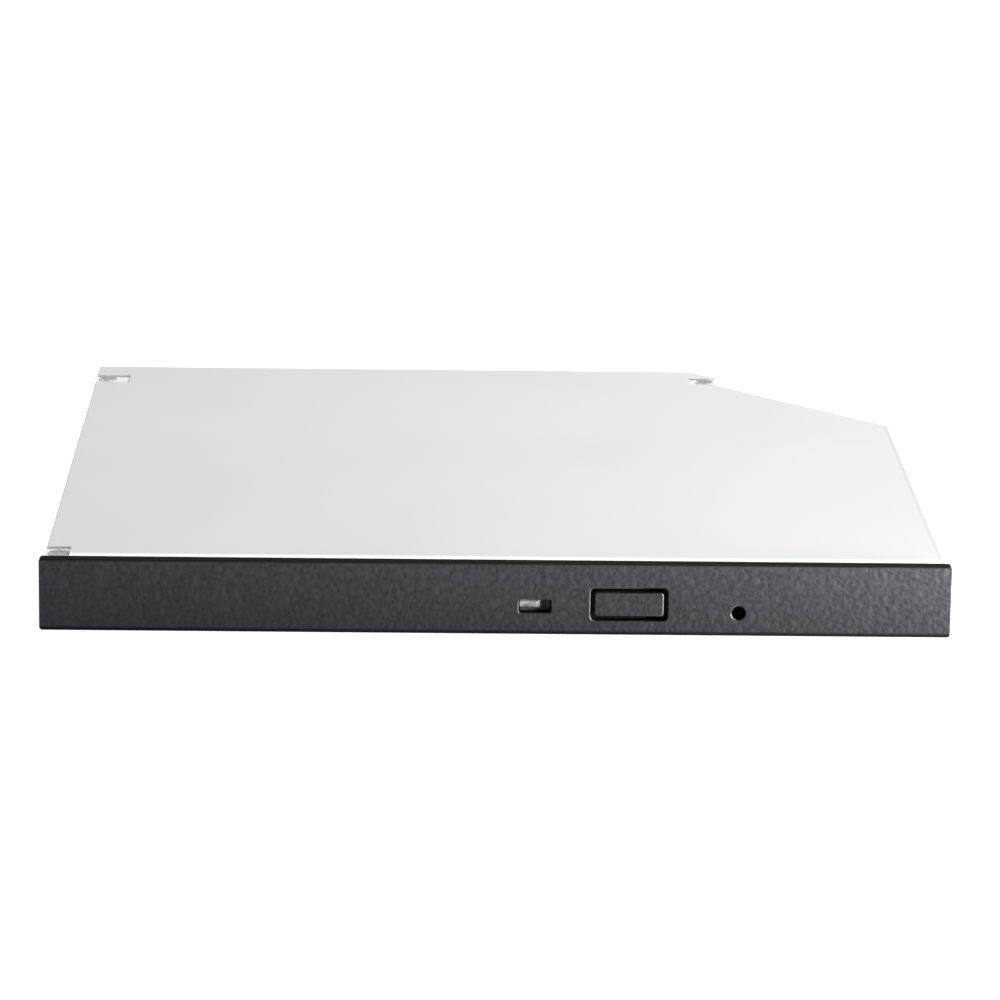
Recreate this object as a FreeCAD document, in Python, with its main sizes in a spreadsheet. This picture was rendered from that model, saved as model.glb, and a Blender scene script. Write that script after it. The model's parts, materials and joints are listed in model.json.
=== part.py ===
import FreeCAD, Part
import math
import os
import Sketcher

# An ultra-slim internal disc writer: a folded sheet drive body with one cut rear corner, a tray on
# telescoping rails that carries the spindle, the optical pickup and the control board, and a plastic
# bezel on the tray's front.
# X is to the right, Y to the rear, Z up. The origin is under the middle of the whole drive.
# Names that end in _depth are distances behind the bezel's front face, and names that end in _tail are
# distances ahead of the drive's rear. Places and widths of the plan are for the standard depth.

SIZES = dict(
    # Whole drive
    overall_depth=128.0,
    standard_depth=128.0,
    bezel_overhang=0.5,
    case_height=9.5,
    case_lift=0.4,
    front_clearance=0.3,
    sheet=0.5,
    slant_angle=42.0,
    slant_tail=38.3,
    notch_side=38.2,
    rear_chamfer=4.3,
    chamfer_angle=45.0,
    overshoot=1.0,
    # Cover
    skirt_height=4.4,
    cover_bend=0.4,
    lip_drop=0.5,
    lip_run=2.6,
    dimple_drop=0.3,
    front_dimple_width=4.0,
    rear_dimple_width=6.0,
    front_dimple_end=9.0,
    rear_dimple_start_tail=12.0,
    rear_dimple_end_tail=6.5,
    corner_dimple_width=4.9,
    corner_dimple_start_tail=10.1,
    corner_dimple_end_tail=4.8,
    # Ears and cover screws
    ear_thick=0.4,
    ear_margin=0.7,
    screw_inset=2.0,
    screw_head=1.4,
    screw_head_thick=0.28,
    screw_shank=0.7,
    screw_length=1.1,
    screw_clearance=0.08,
    cross_width=0.35,
    cross_length=1.8,
    cross_sink=0.15,
    # Stamped panels in the case's floor
    stamp_sink=0.2,
    stamp_corner=3.0,
    stamp_edge=0.6,
    left_stamp_start=-54.0,
    left_stamp_end=-24.0,
    right_stamp_start=20.0,
    right_stamp_end=46.0,
    stamp_depth=34.0,
    left_stamp_tail=30.0,
    right_stamp_tail=52.0,
    # Rear wall
    plug_middle=-38.0,
    plug_width=27.6,
    plug_height=4.5,
    plug_clearance=0.2,
    bracket_hole=0.8,
    bracket_collar=1.9,
    bracket_collar_length=1.5,
    bracket_spacing=24.0,
    bracket_rise=3.2,
    # Rails
    rail_clearance=0.2,
    rail_sheet=0.4,
    rail_low=1.3,
    rail_high=5.7,
    outer_rail_reach=1.9,
    middle_rail_reach=1.8,
    outer_rail_start=6.0,
    left_outer_rail_tail=4.0,
    right_outer_rail_tail=40.0,
    middle_rail_start=8.0,
    left_middle_rail_tail=6.0,
    right_middle_rail_tail=42.0,
    tongue_start=10.0,
    left_tongue_tail=10.0,
    right_tongue_tail=42.0,
    # Tray
    rim_top=8.35,
    flange_low=5.9,
    deck_low=5.0,
    skirt_low=1.35,
    tray_tail=22.0,
    flange_inset=1.3,
    body_inset=3.6,
    tray_wall=1.2,
    tray_front_wall=1.9,
    recess_floor=6.4,
    recess_radius=60.6,
    small_recess_floor=5.9,
    small_recess_radius=40.6,
    post_slot_low=48.4,
    post_slot_high=53.6,
    post_slot_top=3.3,
    boss_radius=1.8,
    left_boss_side=-50.0,
    left_boss_tail=36.0,
    front_boss_side=30.6,
    front_boss_depth=13.0,
    rear_boss_side=20.0,
    rear_boss_tail=30.5,
    # Spindle and its place
    hub_shift=0.5,
    traverse_angle=225.0,
    # Bezel
    bezel_height=10.3,
    bezel_thick=2.0,
    bezel_corner=0.8,
    bezel_edge=0.3,
    core_sink=0.8,
    core_low=2.7,
    core_high=7.2,
    core_margin=4.0,
    core_rib=2.0,
    window_left=3.19,
    window_right=7.78,
    window_low=3.06,
    window_high=4.98,
    window_corner=0.3,
    button_left=13.27,
    button_right=24.18,
    button_low=2.02,
    button_high=6.81,
    button_corner=0.7,
    pin_hole_middle=34.12,
    pin_hole_height=3.28,
    pin_hole_radius=1.0,
    # Eject button
    button_gap_side=0.6,
    button_gap_low=0.66,
    button_gap_high=0.72,
    button_set_back=0.05,
    button_flange=0.8,
    button_flange_thick=0.6,
    button_stem_width=2.4,
    button_stem_end=4.65,
    pocket_clearance=0.3,
    # Indicator
    lens_clearance=0.08,
    lens_set_back=0.55,
    lens_face_thick=1.4,
    lens_guide_width=2.6,
    lens_guide_end=6.9,
    led_depth=7.3,
    led_length=1.6,
    led_height=1.2,
    # Eject switch
    switch_depth=5.9,
    switch_length=2.6,
    switch_width=5.4,
    switch_height=2.0,
    switch_plunger=0.5,
    switch_plunger_depth=5.3,
    # Control board
    board_low=1.9,
    board_thick=0.8,
    board_left=-17.8,
    board_front=7.2,
    board_step_side=28.0,
    board_step_depth=28.0,
    board_right=47.6,
    board_slant_tail=37.0,
    board_tail=24.6,
    board_rear_right=37.0,
    board_rear_left=-11.2,
    board_peak_side=33.6,
    board_peak_depth=58.6,
    main_chip=14.0,
    driver_chip=9.0,
    memory_chip=7.0,
    chip_height=1.2,
    main_chip_side=39.0,
    main_chip_tail=58.0,
    driver_chip_side=38.0,
    driver_chip_depth=45.0,
    memory_chip_side=16.0,
    memory_chip_tail=40.0,
    servo_chip_side=8.0,
    servo_chip_depth=20.0,
    # Under cover
    under_cover_thick=0.25,
    under_cover_gap=0.2,
    under_cover_right=47.4,
    under_screw_head=1.5,
    under_screw_head_thick=0.2,
    under_screw_shank=0.7,
    under_screw_length=2.4,
    spindle_window=9.5,
    # Traverse frame
    frame_low=2.4,
    frame_high=4.6,
    frame_half=27.0,
    frame_back=18.6,
    frame_nose=11.5,
    frame_side_gap=0.43,
    frame_front_gap=0.78,
    frame_edge=1.7,
    rotor_hole=12.6,
    window_back=13.8,
    nose_bar=7.6,
    window_shaft_side=23.0,
    window_screw_side=24.3,
    arm_notch_back=6.4,
    arm_notch_side=13.3,
    slot_clearance=0.05,
    # Dampers
    damper_back=16.1,
    damper_back_side=19.0,
    damper_nose_inset=3.4,
    damper_motor_side=13.0,
    damper_hole_depth=0.7,
    damper_front_side=8.0,
    damper_radius=2.2,
    damper_neck=1.6,
    damper_bore=0.85,
    damper_low=2.1,
    damper_screw_length=3.3,
    # Traverse cover plate
    plate_low=5.1,
    plate_thick=0.3,
    plate_gap=0.3,
    plate_leg_inset=6.0,
    plate_leg_width=5.0,
    plate_leg_thick=1.2,
    opening_half=24.0,
    opening_back=13.4,
    opening_inset=10.2,
    opening_nose_run=4.2,
    opening_slope_run=12.8,
    opening_elbow_half=13.0,
    opening_nose=7.0,
    plate_hub_hole=12.4,
    pickup_slot_half=14.6,
    # Shafts
    shaft_height=3.5,
    main_shaft_side=18.0,
    main_shaft_radius=1.0,
    main_shaft_start=3.6,
    main_shaft_tip=0.4,
    sub_shaft_side=17.0,
    sub_shaft_radius=0.8,
    sub_shaft_start=11.0,
    sub_shaft_tip=1.6,
    # Sled drive
    lead_screw_side=21.4,
    lead_screw_radius=1.0,
    lead_screw_tip=0.5,
    lead_tail_radius=0.6,
    lead_tail=2.5,
    motor_back=-15.0,
    motor_front=-3.4,
    motor_low=17.6,
    motor_high=25.2,
    motor_plate=1.0,
    motor_bore=3.0,
    # Pickup
    pickup_back=14.5,
    pickup_front=29.5,
    pickup_half=14.0,
    pickup_low=1.9,
    pickup_high=4.5,
    pickup_cover_thick=0.2,
    pickup_cover_margin=0.6,
    arm_back=7.5,
    arm_front=25.5,
    arm_half=2.1,
    arm_root=0.5,
    sub_arm_back=19.5,
    sub_arm_front=23.5,
    sub_arm_end=18.6,
    shaft_clearance=0.05,
    well_back=17.5,
    well_front=27.3,
    well_half=6.6,
    well_floor=2.9,
    actuator_gap=0.3,
    actuator_plate=0.5,
    magnet_thick=1.4,
    magnet_half=4.4,
    magnet_high=5.2,
    actuator_block_width=1.4,
    actuator_block_drop=0.6,
    lens_middle=23.0,
    holder_half_x=2.2,
    holder_half_y=3.4,
    holder_low=4.1,
    holder_high=5.4,
    lens_radius=1.9,
    lens_rim=0.3,
    lens_crown=0.45,
    rack_back=19.6,
    rack_front=24.0,
    rack_start=11.5,
    rack_thick=0.25,
    rack_tooth=0.7,
    rack_gap=0.1,
    rack_low=2.9,
    # Spindle
    base_low=1.9,
    base_thick=0.5,
    base_radius=14.0,
    bearing_radius=2.4,
    bearing_high=4.2,
    spindle_shaft_radius=0.8,
    stator_low=2.65,
    stator_high=3.7,
    stator_inner=2.5,
    stator_hub=4.4,
    stator_outer=9.4,
    stator_teeth=9.0,
    tooth_width=1.4,
    tooth_tip=0.8,
    shoe_half=2.0,
    cup_radius=11.8,
    cup_wall=0.9,
    cup_low=2.7,
    cup_high=5.0,
    cup_roof=0.5,
    turntable_radius=11.2,
    turntable_high=6.35,
    turntable_dish=8.3,
    turntable_step=0.5,
    turntable_bevel=0.6,
    turntable_slope=0.4,
    ring_inner=9.2,
    ring_outer=11.0,
    ring_high=6.8,
    ring_bevel=0.1,
    chuck_radius=7.35,
    chuck_high=8.6,
    chuck_shoulder=1.0,
    chuck_round_out=0.5,
    chuck_round_down=0.35,
    chuck_flat=1.5,
    chuck_dish=2.4,
    chuck_dish_floor=2.0,
    chuck_dish_sink=0.5,
    claw_width=2.6,
    claw_low=6.75,
    claw_high=7.9,
    claw_root=4.6,
    claw_reach=7.6,
    claw_gap=0.12,
    claw_pocket=0.8,
    claw_nose_low=0.4,
    claw_nose_high=0.5,
    # Latch
    pivot_side=46.0,
    pivot_depth=12.0,
    pivot_radius=0.8,
    lever_low=2.0,
    lever_high=2.9,
    lever_eye=2.2,
    finger_end=33.0,
    finger_front=9.7,
    finger_back=11.4,
    hook_left=55.0,
    hook_right=56.6,
    hook_tip=53.7,
    hook_front=21.6,
    hook_back=23.4,
    hook_root=11.0,
    hook_width=1.8,
    post_side=51.0,
    post_depth=21.0,
    post_radius=1.5,
    post_height=2.1,
    pin_head=1.6,
    pin_head_thick=0.2,
    pin_gap=0.1,
    spring_wire=0.3,
    spring_gap=0.1,
    latch_spring_turns=2.0,
    latch_spring_radius=1.35,
    latch_spring_height=1.5,
    # Solenoid
    solenoid_side=40.0,
    solenoid_width=8.0,
    solenoid_front=17.0,
    solenoid_back=27.0,
    solenoid_low=1.9,
    solenoid_high=4.7,
    yoke_sheet=0.5,
    coil_gap=0.1,
    plunger_radius=0.7,
    plunger_bore=0.8,
    plunger_front=11.7,
    plunger_back=24.0,
    plunger_clearance=1.0,
    # Ejector
    ejector_side=22.0,
    ejector_width=6.0,
    ejector_height=4.0,
    ejector_front_tail=20.0,
    ejector_back_tail=1.4,
    ejector_bore=1.4,
    ejector_wall=1.0,
    rod_radius=0.8,
    rod_guide=0.95,
    rod_collar=1.25,
    rod_front_tail=21.7,
    rod_back_tail=10.0,
    rod_collar_thick=0.8,
    ejector_spring_radius=1.0,
    ejector_spring_turns=9.0,
    # Interface board and its plug
    link_board_inset=4.4,
    link_board_right=-18.0,
    link_board_tail=17.5,
    link_board_low=2.1,
    link_board_thick=0.8,
    standoff_radius=1.8,
    standoff_inset=6.1,
    standoff_right=-21.2,
    standoff_tail=14.4,
    link_screw_head=1.5,
    link_screw_head_thick=0.5,
    link_screw_gap=0.2,
    plug_tail=8.5,
    plug_wall=1.2,
    plug_lip=0.72,
    plug_wing=3.0,
    plug_socket_depth=6.0,
    blade_thick=1.1,
    signal_blade=9.2,
    power_blade=11.6,
    blade_margin=0.6,
    blade_root=0.5,
    blade_set_back=0.4,
    contact_width=0.5,
    contact_thick=0.12,
    contact_length=4.6,
    contact_set_back=0.3,
    contact_pitch=1.27,
    signal_contacts=7.0,
    power_contacts=6.0,
    contact_pitch_power=1.7,
    # Flat cables
    flex_thick=0.1,
    flex_width=12.0,
    flex_left=2.0,
    flex_turn_depth=50.0,
    flex_fold_tail=10.0,
    flex_fixed_left=-19.0,
    flex_board_tail=28.0,
    flex_gap=0.2,
    flex_inset=1.0,
    flex_ply_gap=0.05,
    connector_length=4.0,
    connector_width=14.0,
    connector_height=0.55,
    pickup_connector_left=35.0,
    pickup_connector_right=45.0,
    pickup_connector_depth=52.5,
    pickup_connector_length=3.5,
    pickup_connector_height=1.1,
    pickup_flex_width=9.0,
    pickup_flex_low=1.64,
    pickup_flex_back=-14.0,
    pickup_flex_front=44.0,
    pickup_flex_fold=50.0,
)

doc = FreeCAD.newDocument("disc_writer")
sheet = doc.addObject("Spreadsheet::Sheet", "dims")
for row, (name, number) in enumerate(SIZES.items(), start=1):
    sheet.set("A%d" % row, name)
    sheet.set("B%d" % row, str(number))
    sheet.setAlias("B%d" % row, name)
doc.recompute()


class Size:
    """A size with its formula, so that a feature can be bound to it."""

    def __init__(self, text, value):
        self.text = text
        self.value = value

    def combine(self, sign, other, value):
        return Size("(%s %s %s)" % (self.text, sign, as_size(other).text), value)

    def __add__(self, other):
        return self.combine("+", other, self.value + as_size(other).value)

    def __radd__(self, other):
        return as_size(other) + self

    def __sub__(self, other):
        return self.combine("-", other, self.value - as_size(other).value)

    def __rsub__(self, other):
        return as_size(other) - self

    def __mul__(self, other):
        return self.combine("*", other, self.value * as_size(other).value)

    def __rmul__(self, other):
        return as_size(other) * self

    def __truediv__(self, other):
        return self.combine("/", other, self.value / as_size(other).value)

    def __neg__(self):
        return Size("(0 - %s)" % self.text, -self.value)


def as_size(item):
    return item if isinstance(item, Size) else Size(repr(float(item)), float(item))


def cosine(angle):
    return Size("cos(%s)" % angle.text, math.cos(math.radians(angle.value)))


def sine(angle):
    return Size("sin(%s)" % angle.text, math.sin(math.radians(angle.value)))


def tangent(angle):
    return Size("tan(%s)" % angle.text, math.tan(math.radians(angle.value)))


class NamedSizes:
    """Gives each size of the sheet by its name."""

    def __getattr__(self, name):
        return Size("dims." + name, SIZES[name])


dim = NamedSizes()
GROWTH = dim.overall_depth / dim.standard_depth


class PlanSizes:
    """Gives each place and width of the plan, grown with the drive's depth."""

    def __getattr__(self, name):
        return getattr(dim, name) * GROWTH


wide = PlanSizes()


def bind(feature, prop, size):
    """Binds one property of a feature to a formula of the sheet's sizes."""
    feature.setExpression(prop, as_size(size).text)


# Drawing helpers

TURNS = {
    "x": FreeCAD.Rotation(FreeCAD.Vector(0, 1, 0), 90),
    "y": FreeCAD.Rotation(FreeCAD.Vector(1, 0, 0), -90),
    "z": FreeCAD.Rotation(),
}


def put(feature, x=0, y=0, z=0):
    for axis, size in (("x", x), ("y", y), ("z", z)):
        bind(feature, "Placement.Base." + axis, size)


def block(name, x, y, z):
    """A box from its three (low, high) spans."""
    box = doc.addObject("Part::Box", name)
    for prop, span in (("Length", x), ("Width", y), ("Height", z)):
        bind(box, prop, as_size(span[1]) - span[0])
    put(box, x[0], y[0], z[0])
    return box


def rod(name, radius, x, y, z):
    """A cylinder: the one of x, y and z that is a (low, high) span gives its axis."""
    bar = doc.addObject("Part::Cylinder", name)
    bind(bar, "Radius", radius)
    low = {"x": x, "y": y, "z": z}
    axis = [key for key, item in low.items() if isinstance(item, tuple)][0]
    bind(bar, "Height", as_size(low[axis][1]) - low[axis][0])
    low[axis] = low[axis][0]
    bar.Placement = FreeCAD.Placement(FreeCAD.Vector(), TURNS[axis])
    put(bar, low["x"], low["y"], low["z"])
    return bar


def fuse(name, *pieces):
    joined = doc.addObject("Part::MultiFuse", name)
    joined.Shapes = list(pieces)
    joined.Refine = True
    return joined


def cut(name, base, *tools):
    result = doc.addObject("Part::Cut", name)
    result.Base = base
    result.Tool = tools[0] if len(tools) == 1 else fuse(name + "_tools", *tools)
    result.Refine = True
    return result


def group(name, *pieces):
    """Separate solids that share one node."""
    bundle = doc.addObject("Part::Compound", name)
    bundle.Links = list(pieces)
    return bundle


class Disc:
    """A circle in a sketch."""

    def __init__(self, x, y, radius):
        self.x = as_size(x)
        self.y = as_size(y)
        self.radius = as_size(radius)

    def draw(self, sketch):
        circle = Part.Circle(
            FreeCAD.Vector(self.x.value, self.y.value, 0), FreeCAD.Vector(0, 0, 1), self.radius.value
        )
        index = sketch.addGeometry(circle, False)
        fix_point(sketch, index, 3, self.x, self.y)
        fix_radius(sketch, index, self.radius)


class Outline:
    """A closed run of straight lines in a sketch."""

    def __init__(self, *points):
        self.points = [(as_size(x), as_size(y)) for x, y in points]

    def draw(self, sketch):
        corners = [FreeCAD.Vector(x.value, y.value, 0) for x, y in self.points]
        first = sketch.GeometryCount
        count = len(corners)
        for i, corner in enumerate(corners):
            sketch.addGeometry(Part.LineSegment(corner, corners[(i + 1) % count]), False)
        for i, (x, y) in enumerate(self.points):
            after = first + (i + 1) % count
            sketch.addConstraint(Sketcher.Constraint("Coincident", first + i, 2, after, 1))
            fix_point(sketch, first + i, 1, x, y)


class RoundedOblong:
    """A rectangle with round corners in a sketch."""

    def __init__(self, x, y, radius):
        self.x = (as_size(x[0]), as_size(x[1]))
        self.y = (as_size(y[0]), as_size(y[1]))
        self.radius = as_size(radius)

    def draw(self, sketch):
        x, y, r = self.x, self.y, self.radius
        sides = (
            ((x[0] + r, y[0]), (x[1] - r, y[0])),
            ((x[1], y[0] + r), (x[1], y[1] - r)),
            ((x[1] - r, y[1]), (x[0] + r, y[1])),
            ((x[0], y[1] - r), (x[0], y[0] + r)),
        )
        centres = ((x[1] - r, y[0] + r), (x[1] - r, y[1] - r), (x[0] + r, y[1] - r), (x[0] + r, y[0] + r))
        lines = []
        for start, end in sides:
            ends = [FreeCAD.Vector(x.value, y.value, 0) for x, y in (start, end)]
            index = sketch.addGeometry(Part.LineSegment(*ends), False)
            fix_point(sketch, index, 1, *start)
            fix_point(sketch, index, 2, *end)
            lines.append(index)
        for i, centre in enumerate(centres):
            middle = FreeCAD.Vector(centre[0].value, centre[1].value, 0)
            circle = Part.Circle(middle, FreeCAD.Vector(0, 0, 1), r.value)
            begin = math.radians(-90 + 90 * i)
            arc = sketch.addGeometry(Part.ArcOfCircle(circle, begin, begin + math.pi / 2), False)
            sketch.addConstraint(Sketcher.Constraint("Coincident", arc, 1, lines[i], 2))
            sketch.addConstraint(Sketcher.Constraint("Coincident", arc, 2, lines[(i + 1) % 4], 1))
            fix_radius(sketch, arc, r)


class DomedProfile:
    """Half the section of a round piece with a flat rim and a domed top, its axis at X 0."""

    def __init__(self, rim, crown, heights, rise):
        self.rim = rim
        self.crown = crown
        self.low, self.high = heights
        self.rise = rise

    def draw(self, sketch):
        top = self.high + self.rise
        points = ((0, top), (0, self.low), (self.rim, self.low), (self.rim, self.high))
        points += ((self.crown, self.high),)
        points = [(as_size(x), as_size(y)) for x, y in points]
        corners = [FreeCAD.Vector(x.value, y.value, 0) for x, y in points]
        for i, (x, y) in enumerate(points[:-1]):
            sketch.addGeometry(Part.LineSegment(corners[i], corners[i + 1]), False)
            fix_point(sketch, i, 1, x, y)
            if i > 0:
                sketch.addConstraint(Sketcher.Constraint("Coincident", i - 1, 2, i, 1))
        last = len(points) - 2
        fix_point(sketch, last, 2, *points[-1])
        radius = (self.crown * self.crown + self.rise * self.rise) / (2 * self.rise)
        centre = FreeCAD.Vector(0, (top - radius).value, 0)
        circle = Part.Circle(centre, FreeCAD.Vector(0, 0, 1), radius.value)
        begin = math.asin((radius - self.rise).value / radius.value)
        arc = sketch.addGeometry(Part.ArcOfCircle(circle, begin, math.pi / 2), False)
        sketch.addConstraint(Sketcher.Constraint("Coincident", arc, 1, last, 2))
        sketch.addConstraint(Sketcher.Constraint("Coincident", arc, 2, 0, 1))
        fix_radius(sketch, arc, radius)


def oblong(x, y):
    return Outline((x[0], y[0]), (x[1], y[0]), (x[1], y[1]), (x[0], y[1]))


def fix_point(sketch, index, vertex, x, y):
    for kind, size in (("DistanceX", as_size(x)), ("DistanceY", as_size(y))):
        number = sketch.addConstraint(Sketcher.Constraint(kind, -1, 1, index, vertex, size.value))
        bind(sketch, "Constraints[%d]" % number, size)


def fix_radius(sketch, index, size):
    number = sketch.addConstraint(Sketcher.Constraint("Radius", index, size.value))
    bind(sketch, "Constraints[%d]" % number, size)


# The side of each origin plane that its sketches face, seen along the third axis
NORMALS = {"XY": 1, "XZ": -1, "YZ": 1}


class Body:
    """One PartDesign body, made feature by feature from sketches on its own origin planes."""

    def __init__(self, name):
        self.name = name
        self.body = doc.addObject("PartDesign::Body", name)

    def datum(self, role):
        return [item for item in self.body.Origin.OriginFeatures if item.Role == role][0]

    def sketch(self, loops, plane, offset):
        sketch = self.body.newObject("Sketcher::SketchObject", self.name + "_sketch")
        sketch.AttachmentSupport = [(self.datum(plane + "_Plane"), "")]
        sketch.MapMode = "FlatFace"
        bind(sketch, "AttachmentOffset.Base.z", offset)
        for loop in loops:
            loop.draw(sketch)
        return sketch

    def pad(self, loops, span, plane="XY"):
        """Adds material over a (low, high) span across the plane."""
        start = span[0] if NORMALS[plane] > 0 else -as_size(span[1])
        pad = self.body.newObject("PartDesign::Pad", self.name + "_pad")
        pad.Profile = self.sketch(loops, plane, start)
        bind(pad, "Length", as_size(span[1]) - span[0])
        doc.recompute()
        return pad

    def cut(self, loops, span, plane="XY"):
        """Removes material over a (low, high) span across the plane."""
        before = self.body.Shape.Volume
        start = span[1] if NORMALS[plane] > 0 else -as_size(span[0])
        pocket = self.body.newObject("PartDesign::Pocket", self.name + "_cut")
        pocket.Profile = self.sketch(loops, plane, start)
        bind(pocket, "Length", as_size(span[1]) - span[0])
        doc.recompute()
        if self.body.Shape.isNull() or self.body.Shape.Volume >= before:
            raise RuntimeError("%s: %s cut nothing" % (self.name, pocket.Name))
        return pocket

    def revolve(self, loop):
        """Turns a profile of (radius, height) points about the body's own Z axis."""
        revolution = self.body.newObject("PartDesign::Revolution", self.name + "_turned")
        sketch = self.sketch([loop], "XZ", 0)
        revolution.Profile = sketch
        revolution.ReferenceAxis = (sketch, ["V_Axis"])
        revolution.Angle = 360
        doc.recompute()
        return revolution

    def around(self, feature, count):
        """Repeats a feature about the body's Z axis."""
        pattern = self.body.newObject("PartDesign::PolarPattern", self.name + "_around")
        pattern.Originals = [feature]
        pattern.Axis = (self.datum("Z_Axis"), [""])
        pattern.Angle = 360
        bind(pattern, "Occurrences", count)
        self.body.Tip = pattern
        doc.recompute()
        return pattern

    def soften(self, radius, test):
        """Rounds the edges whose ends both pass the test."""
        doc.recompute()
        base = self.body.Tip
        names = [
            "Edge%d" % (i + 1)
            for i, edge in enumerate(self.body.Shape.Edges)
            if all(test(vertex.Point) for vertex in edge.Vertexes)
        ]
        fillet = self.body.newObject("PartDesign::Fillet", self.name + "_round")
        fillet.Base = (base, names)
        bind(fillet, "Radius", radius)
        doc.recompute()
        return fillet


NODES = []


def node(name, item):
    """Registers a finished sub-part under its own name."""
    feature = item.body if isinstance(item, Body) else item
    feature.Label = name
    NODES.append(feature)
    return feature


# How near two places are to count as one
TOLERANCE = 1e-6

# Places that several pieces share

FRONT = -dim.overall_depth / 2


def behind(depth):
    """The Y of a place at a depth behind the bezel's front face."""
    return FRONT + depth


REAR = dim.overall_depth / 2


def ahead_of_rear(tail):
    """The Y of a place at a distance ahead of the drive's rear."""
    return REAR - tail


# The plan is as wide as it is deep, because it holds a round disc
SIDE = dim.overall_depth / 2 - dim.bezel_overhang
TRAY_FRONT = behind(dim.bezel_thick)
CASE_FRONT = TRAY_FRONT + dim.front_clearance
CASE_TOP = dim.case_lift + dim.case_height
COVER_UNDER = CASE_TOP - dim.sheet
DIMPLE_TOP = CASE_TOP - dim.dimple_drop
EAR_TOP = DIMPLE_TOP - dim.sheet
EAR_LOW = EAR_TOP - dim.ear_thick
FLOOR = dim.case_lift + dim.sheet
SLANT_Y = ahead_of_rear(wide.slant_tail)
WALL_INNER = SIDE - 2 * dim.sheet
REAR_INNER = REAR - 2 * dim.sheet
HUB_Y = as_size(dim.hub_shift)
HALF_SLANT = tangent(dim.slant_angle / 2)
HALF_CHAMFER = tangent(dim.chamfer_angle / 2)


def case_outline(inset):
    """The drive's plan, moved inwards by an inset on its sides and rear."""
    side = SIDE - inset
    notch = wide.notch_side - inset
    elbow = SLANT_Y + (SIDE - wide.notch_side) / tangent(dim.slant_angle)
    return Outline(
        (-side, CASE_FRONT),
        (side, CASE_FRONT),
        (side, SLANT_Y - inset * HALF_SLANT),
        (notch, elbow - inset * HALF_SLANT),
        (notch, REAR - dim.rear_chamfer - inset * HALF_CHAMFER),
        (wide.notch_side - dim.rear_chamfer - inset * HALF_CHAMFER, REAR - inset),
        (-side, REAR - inset),
    )


def tray_outline(inset, front, rear):
    """The tray's plan: straight sides, a square rear and the same slanted corner."""
    side = SIDE - inset
    corner = SIDE - (rear - SLANT_Y) * tangent(dim.slant_angle) - inset / cosine(dim.slant_angle)
    return Outline(
        (-side, front),
        (side, front),
        (side, SLANT_Y - inset * HALF_SLANT),
        (corner, rear),
        (-side, rear),
    )


def swing(x, y):
    """A place given along and across the traverse, in the drive's own plan."""
    c = cosine(dim.traverse_angle)
    s = sine(dim.traverse_angle)
    return (x * c - y * s, HUB_Y + x * s + y * c)


def on_traverse(item):
    """Turns a piece that is drawn along and across the traverse to its place about the spindle."""
    feature = item.body if isinstance(item, Body) else item
    axis = FreeCAD.Vector(0, 0, 1)
    feature.Placement = FreeCAD.Placement(FreeCAD.Vector(), FreeCAD.Rotation(axis, SIZES["traverse_angle"]))
    bind(feature, "Placement.Base.y", HUB_Y)
    bind(feature, "Placement.Rotation.Angle", dim.traverse_angle)
    return item


def screw(name, x, y, top):
    """A cross-recess screw, head up, with its head's top at a height."""
    under = top - dim.screw_head_thick
    solid = fuse(
        name + "_solid",
        rod(name + "_head", dim.screw_head, x, y, (under, top)),
        rod(name + "_shank", dim.screw_shank, x, y, (under - dim.screw_length, under)),
    )
    half_length = dim.cross_length / 2
    half_width = dim.cross_width / 2
    sink = (top - dim.cross_sink, top)
    return cut(
        name,
        solid,
        block(name + "_slot", (x - half_length, x + half_length), (y - half_width, y + half_width), sink),
        block(name + "_slit", (x - half_width, x + half_width), (y - half_length, y + half_length), sink),
    )


# Lower case and cover

FRONT_DIMPLE = (-SIDE, -SIDE + dim.front_dimple_width, CASE_FRONT, behind(dim.front_dimple_end))
REAR_DIMPLE = (
    -SIDE,
    -SIDE + dim.rear_dimple_width,
    ahead_of_rear(wide.rear_dimple_start_tail),
    ahead_of_rear(wide.rear_dimple_end_tail),
)
CORNER_DIMPLE = (
    wide.notch_side - dim.corner_dimple_width,
    wide.notch_side,
    ahead_of_rear(wide.corner_dimple_start_tail),
    ahead_of_rear(wide.corner_dimple_end_tail),
)
COVER_SCREWS = (
    (-SIDE + dim.screw_inset, (FRONT_DIMPLE[2] + FRONT_DIMPLE[3]) / 2),
    (-SIDE + dim.screw_inset, (REAR_DIMPLE[2] + REAR_DIMPLE[3]) / 2),
    (wide.notch_side - dim.screw_inset, (CORNER_DIMPLE[2] + CORNER_DIMPLE[3]) / 2),
)
PLUG_SPAN = (wide.plug_middle - dim.plug_width / 2, wide.plug_middle + dim.plug_width / 2)
PLUG_TOP = FLOOR + dim.plug_height
BRACKET_Z = dim.case_lift + dim.bracket_rise
STANDOFF_Y = ahead_of_rear(wide.standoff_tail)
STANDOFFS = ((dim.standoff_inset - SIDE, STANDOFF_Y), (wide.standoff_right, STANDOFF_Y))


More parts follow.
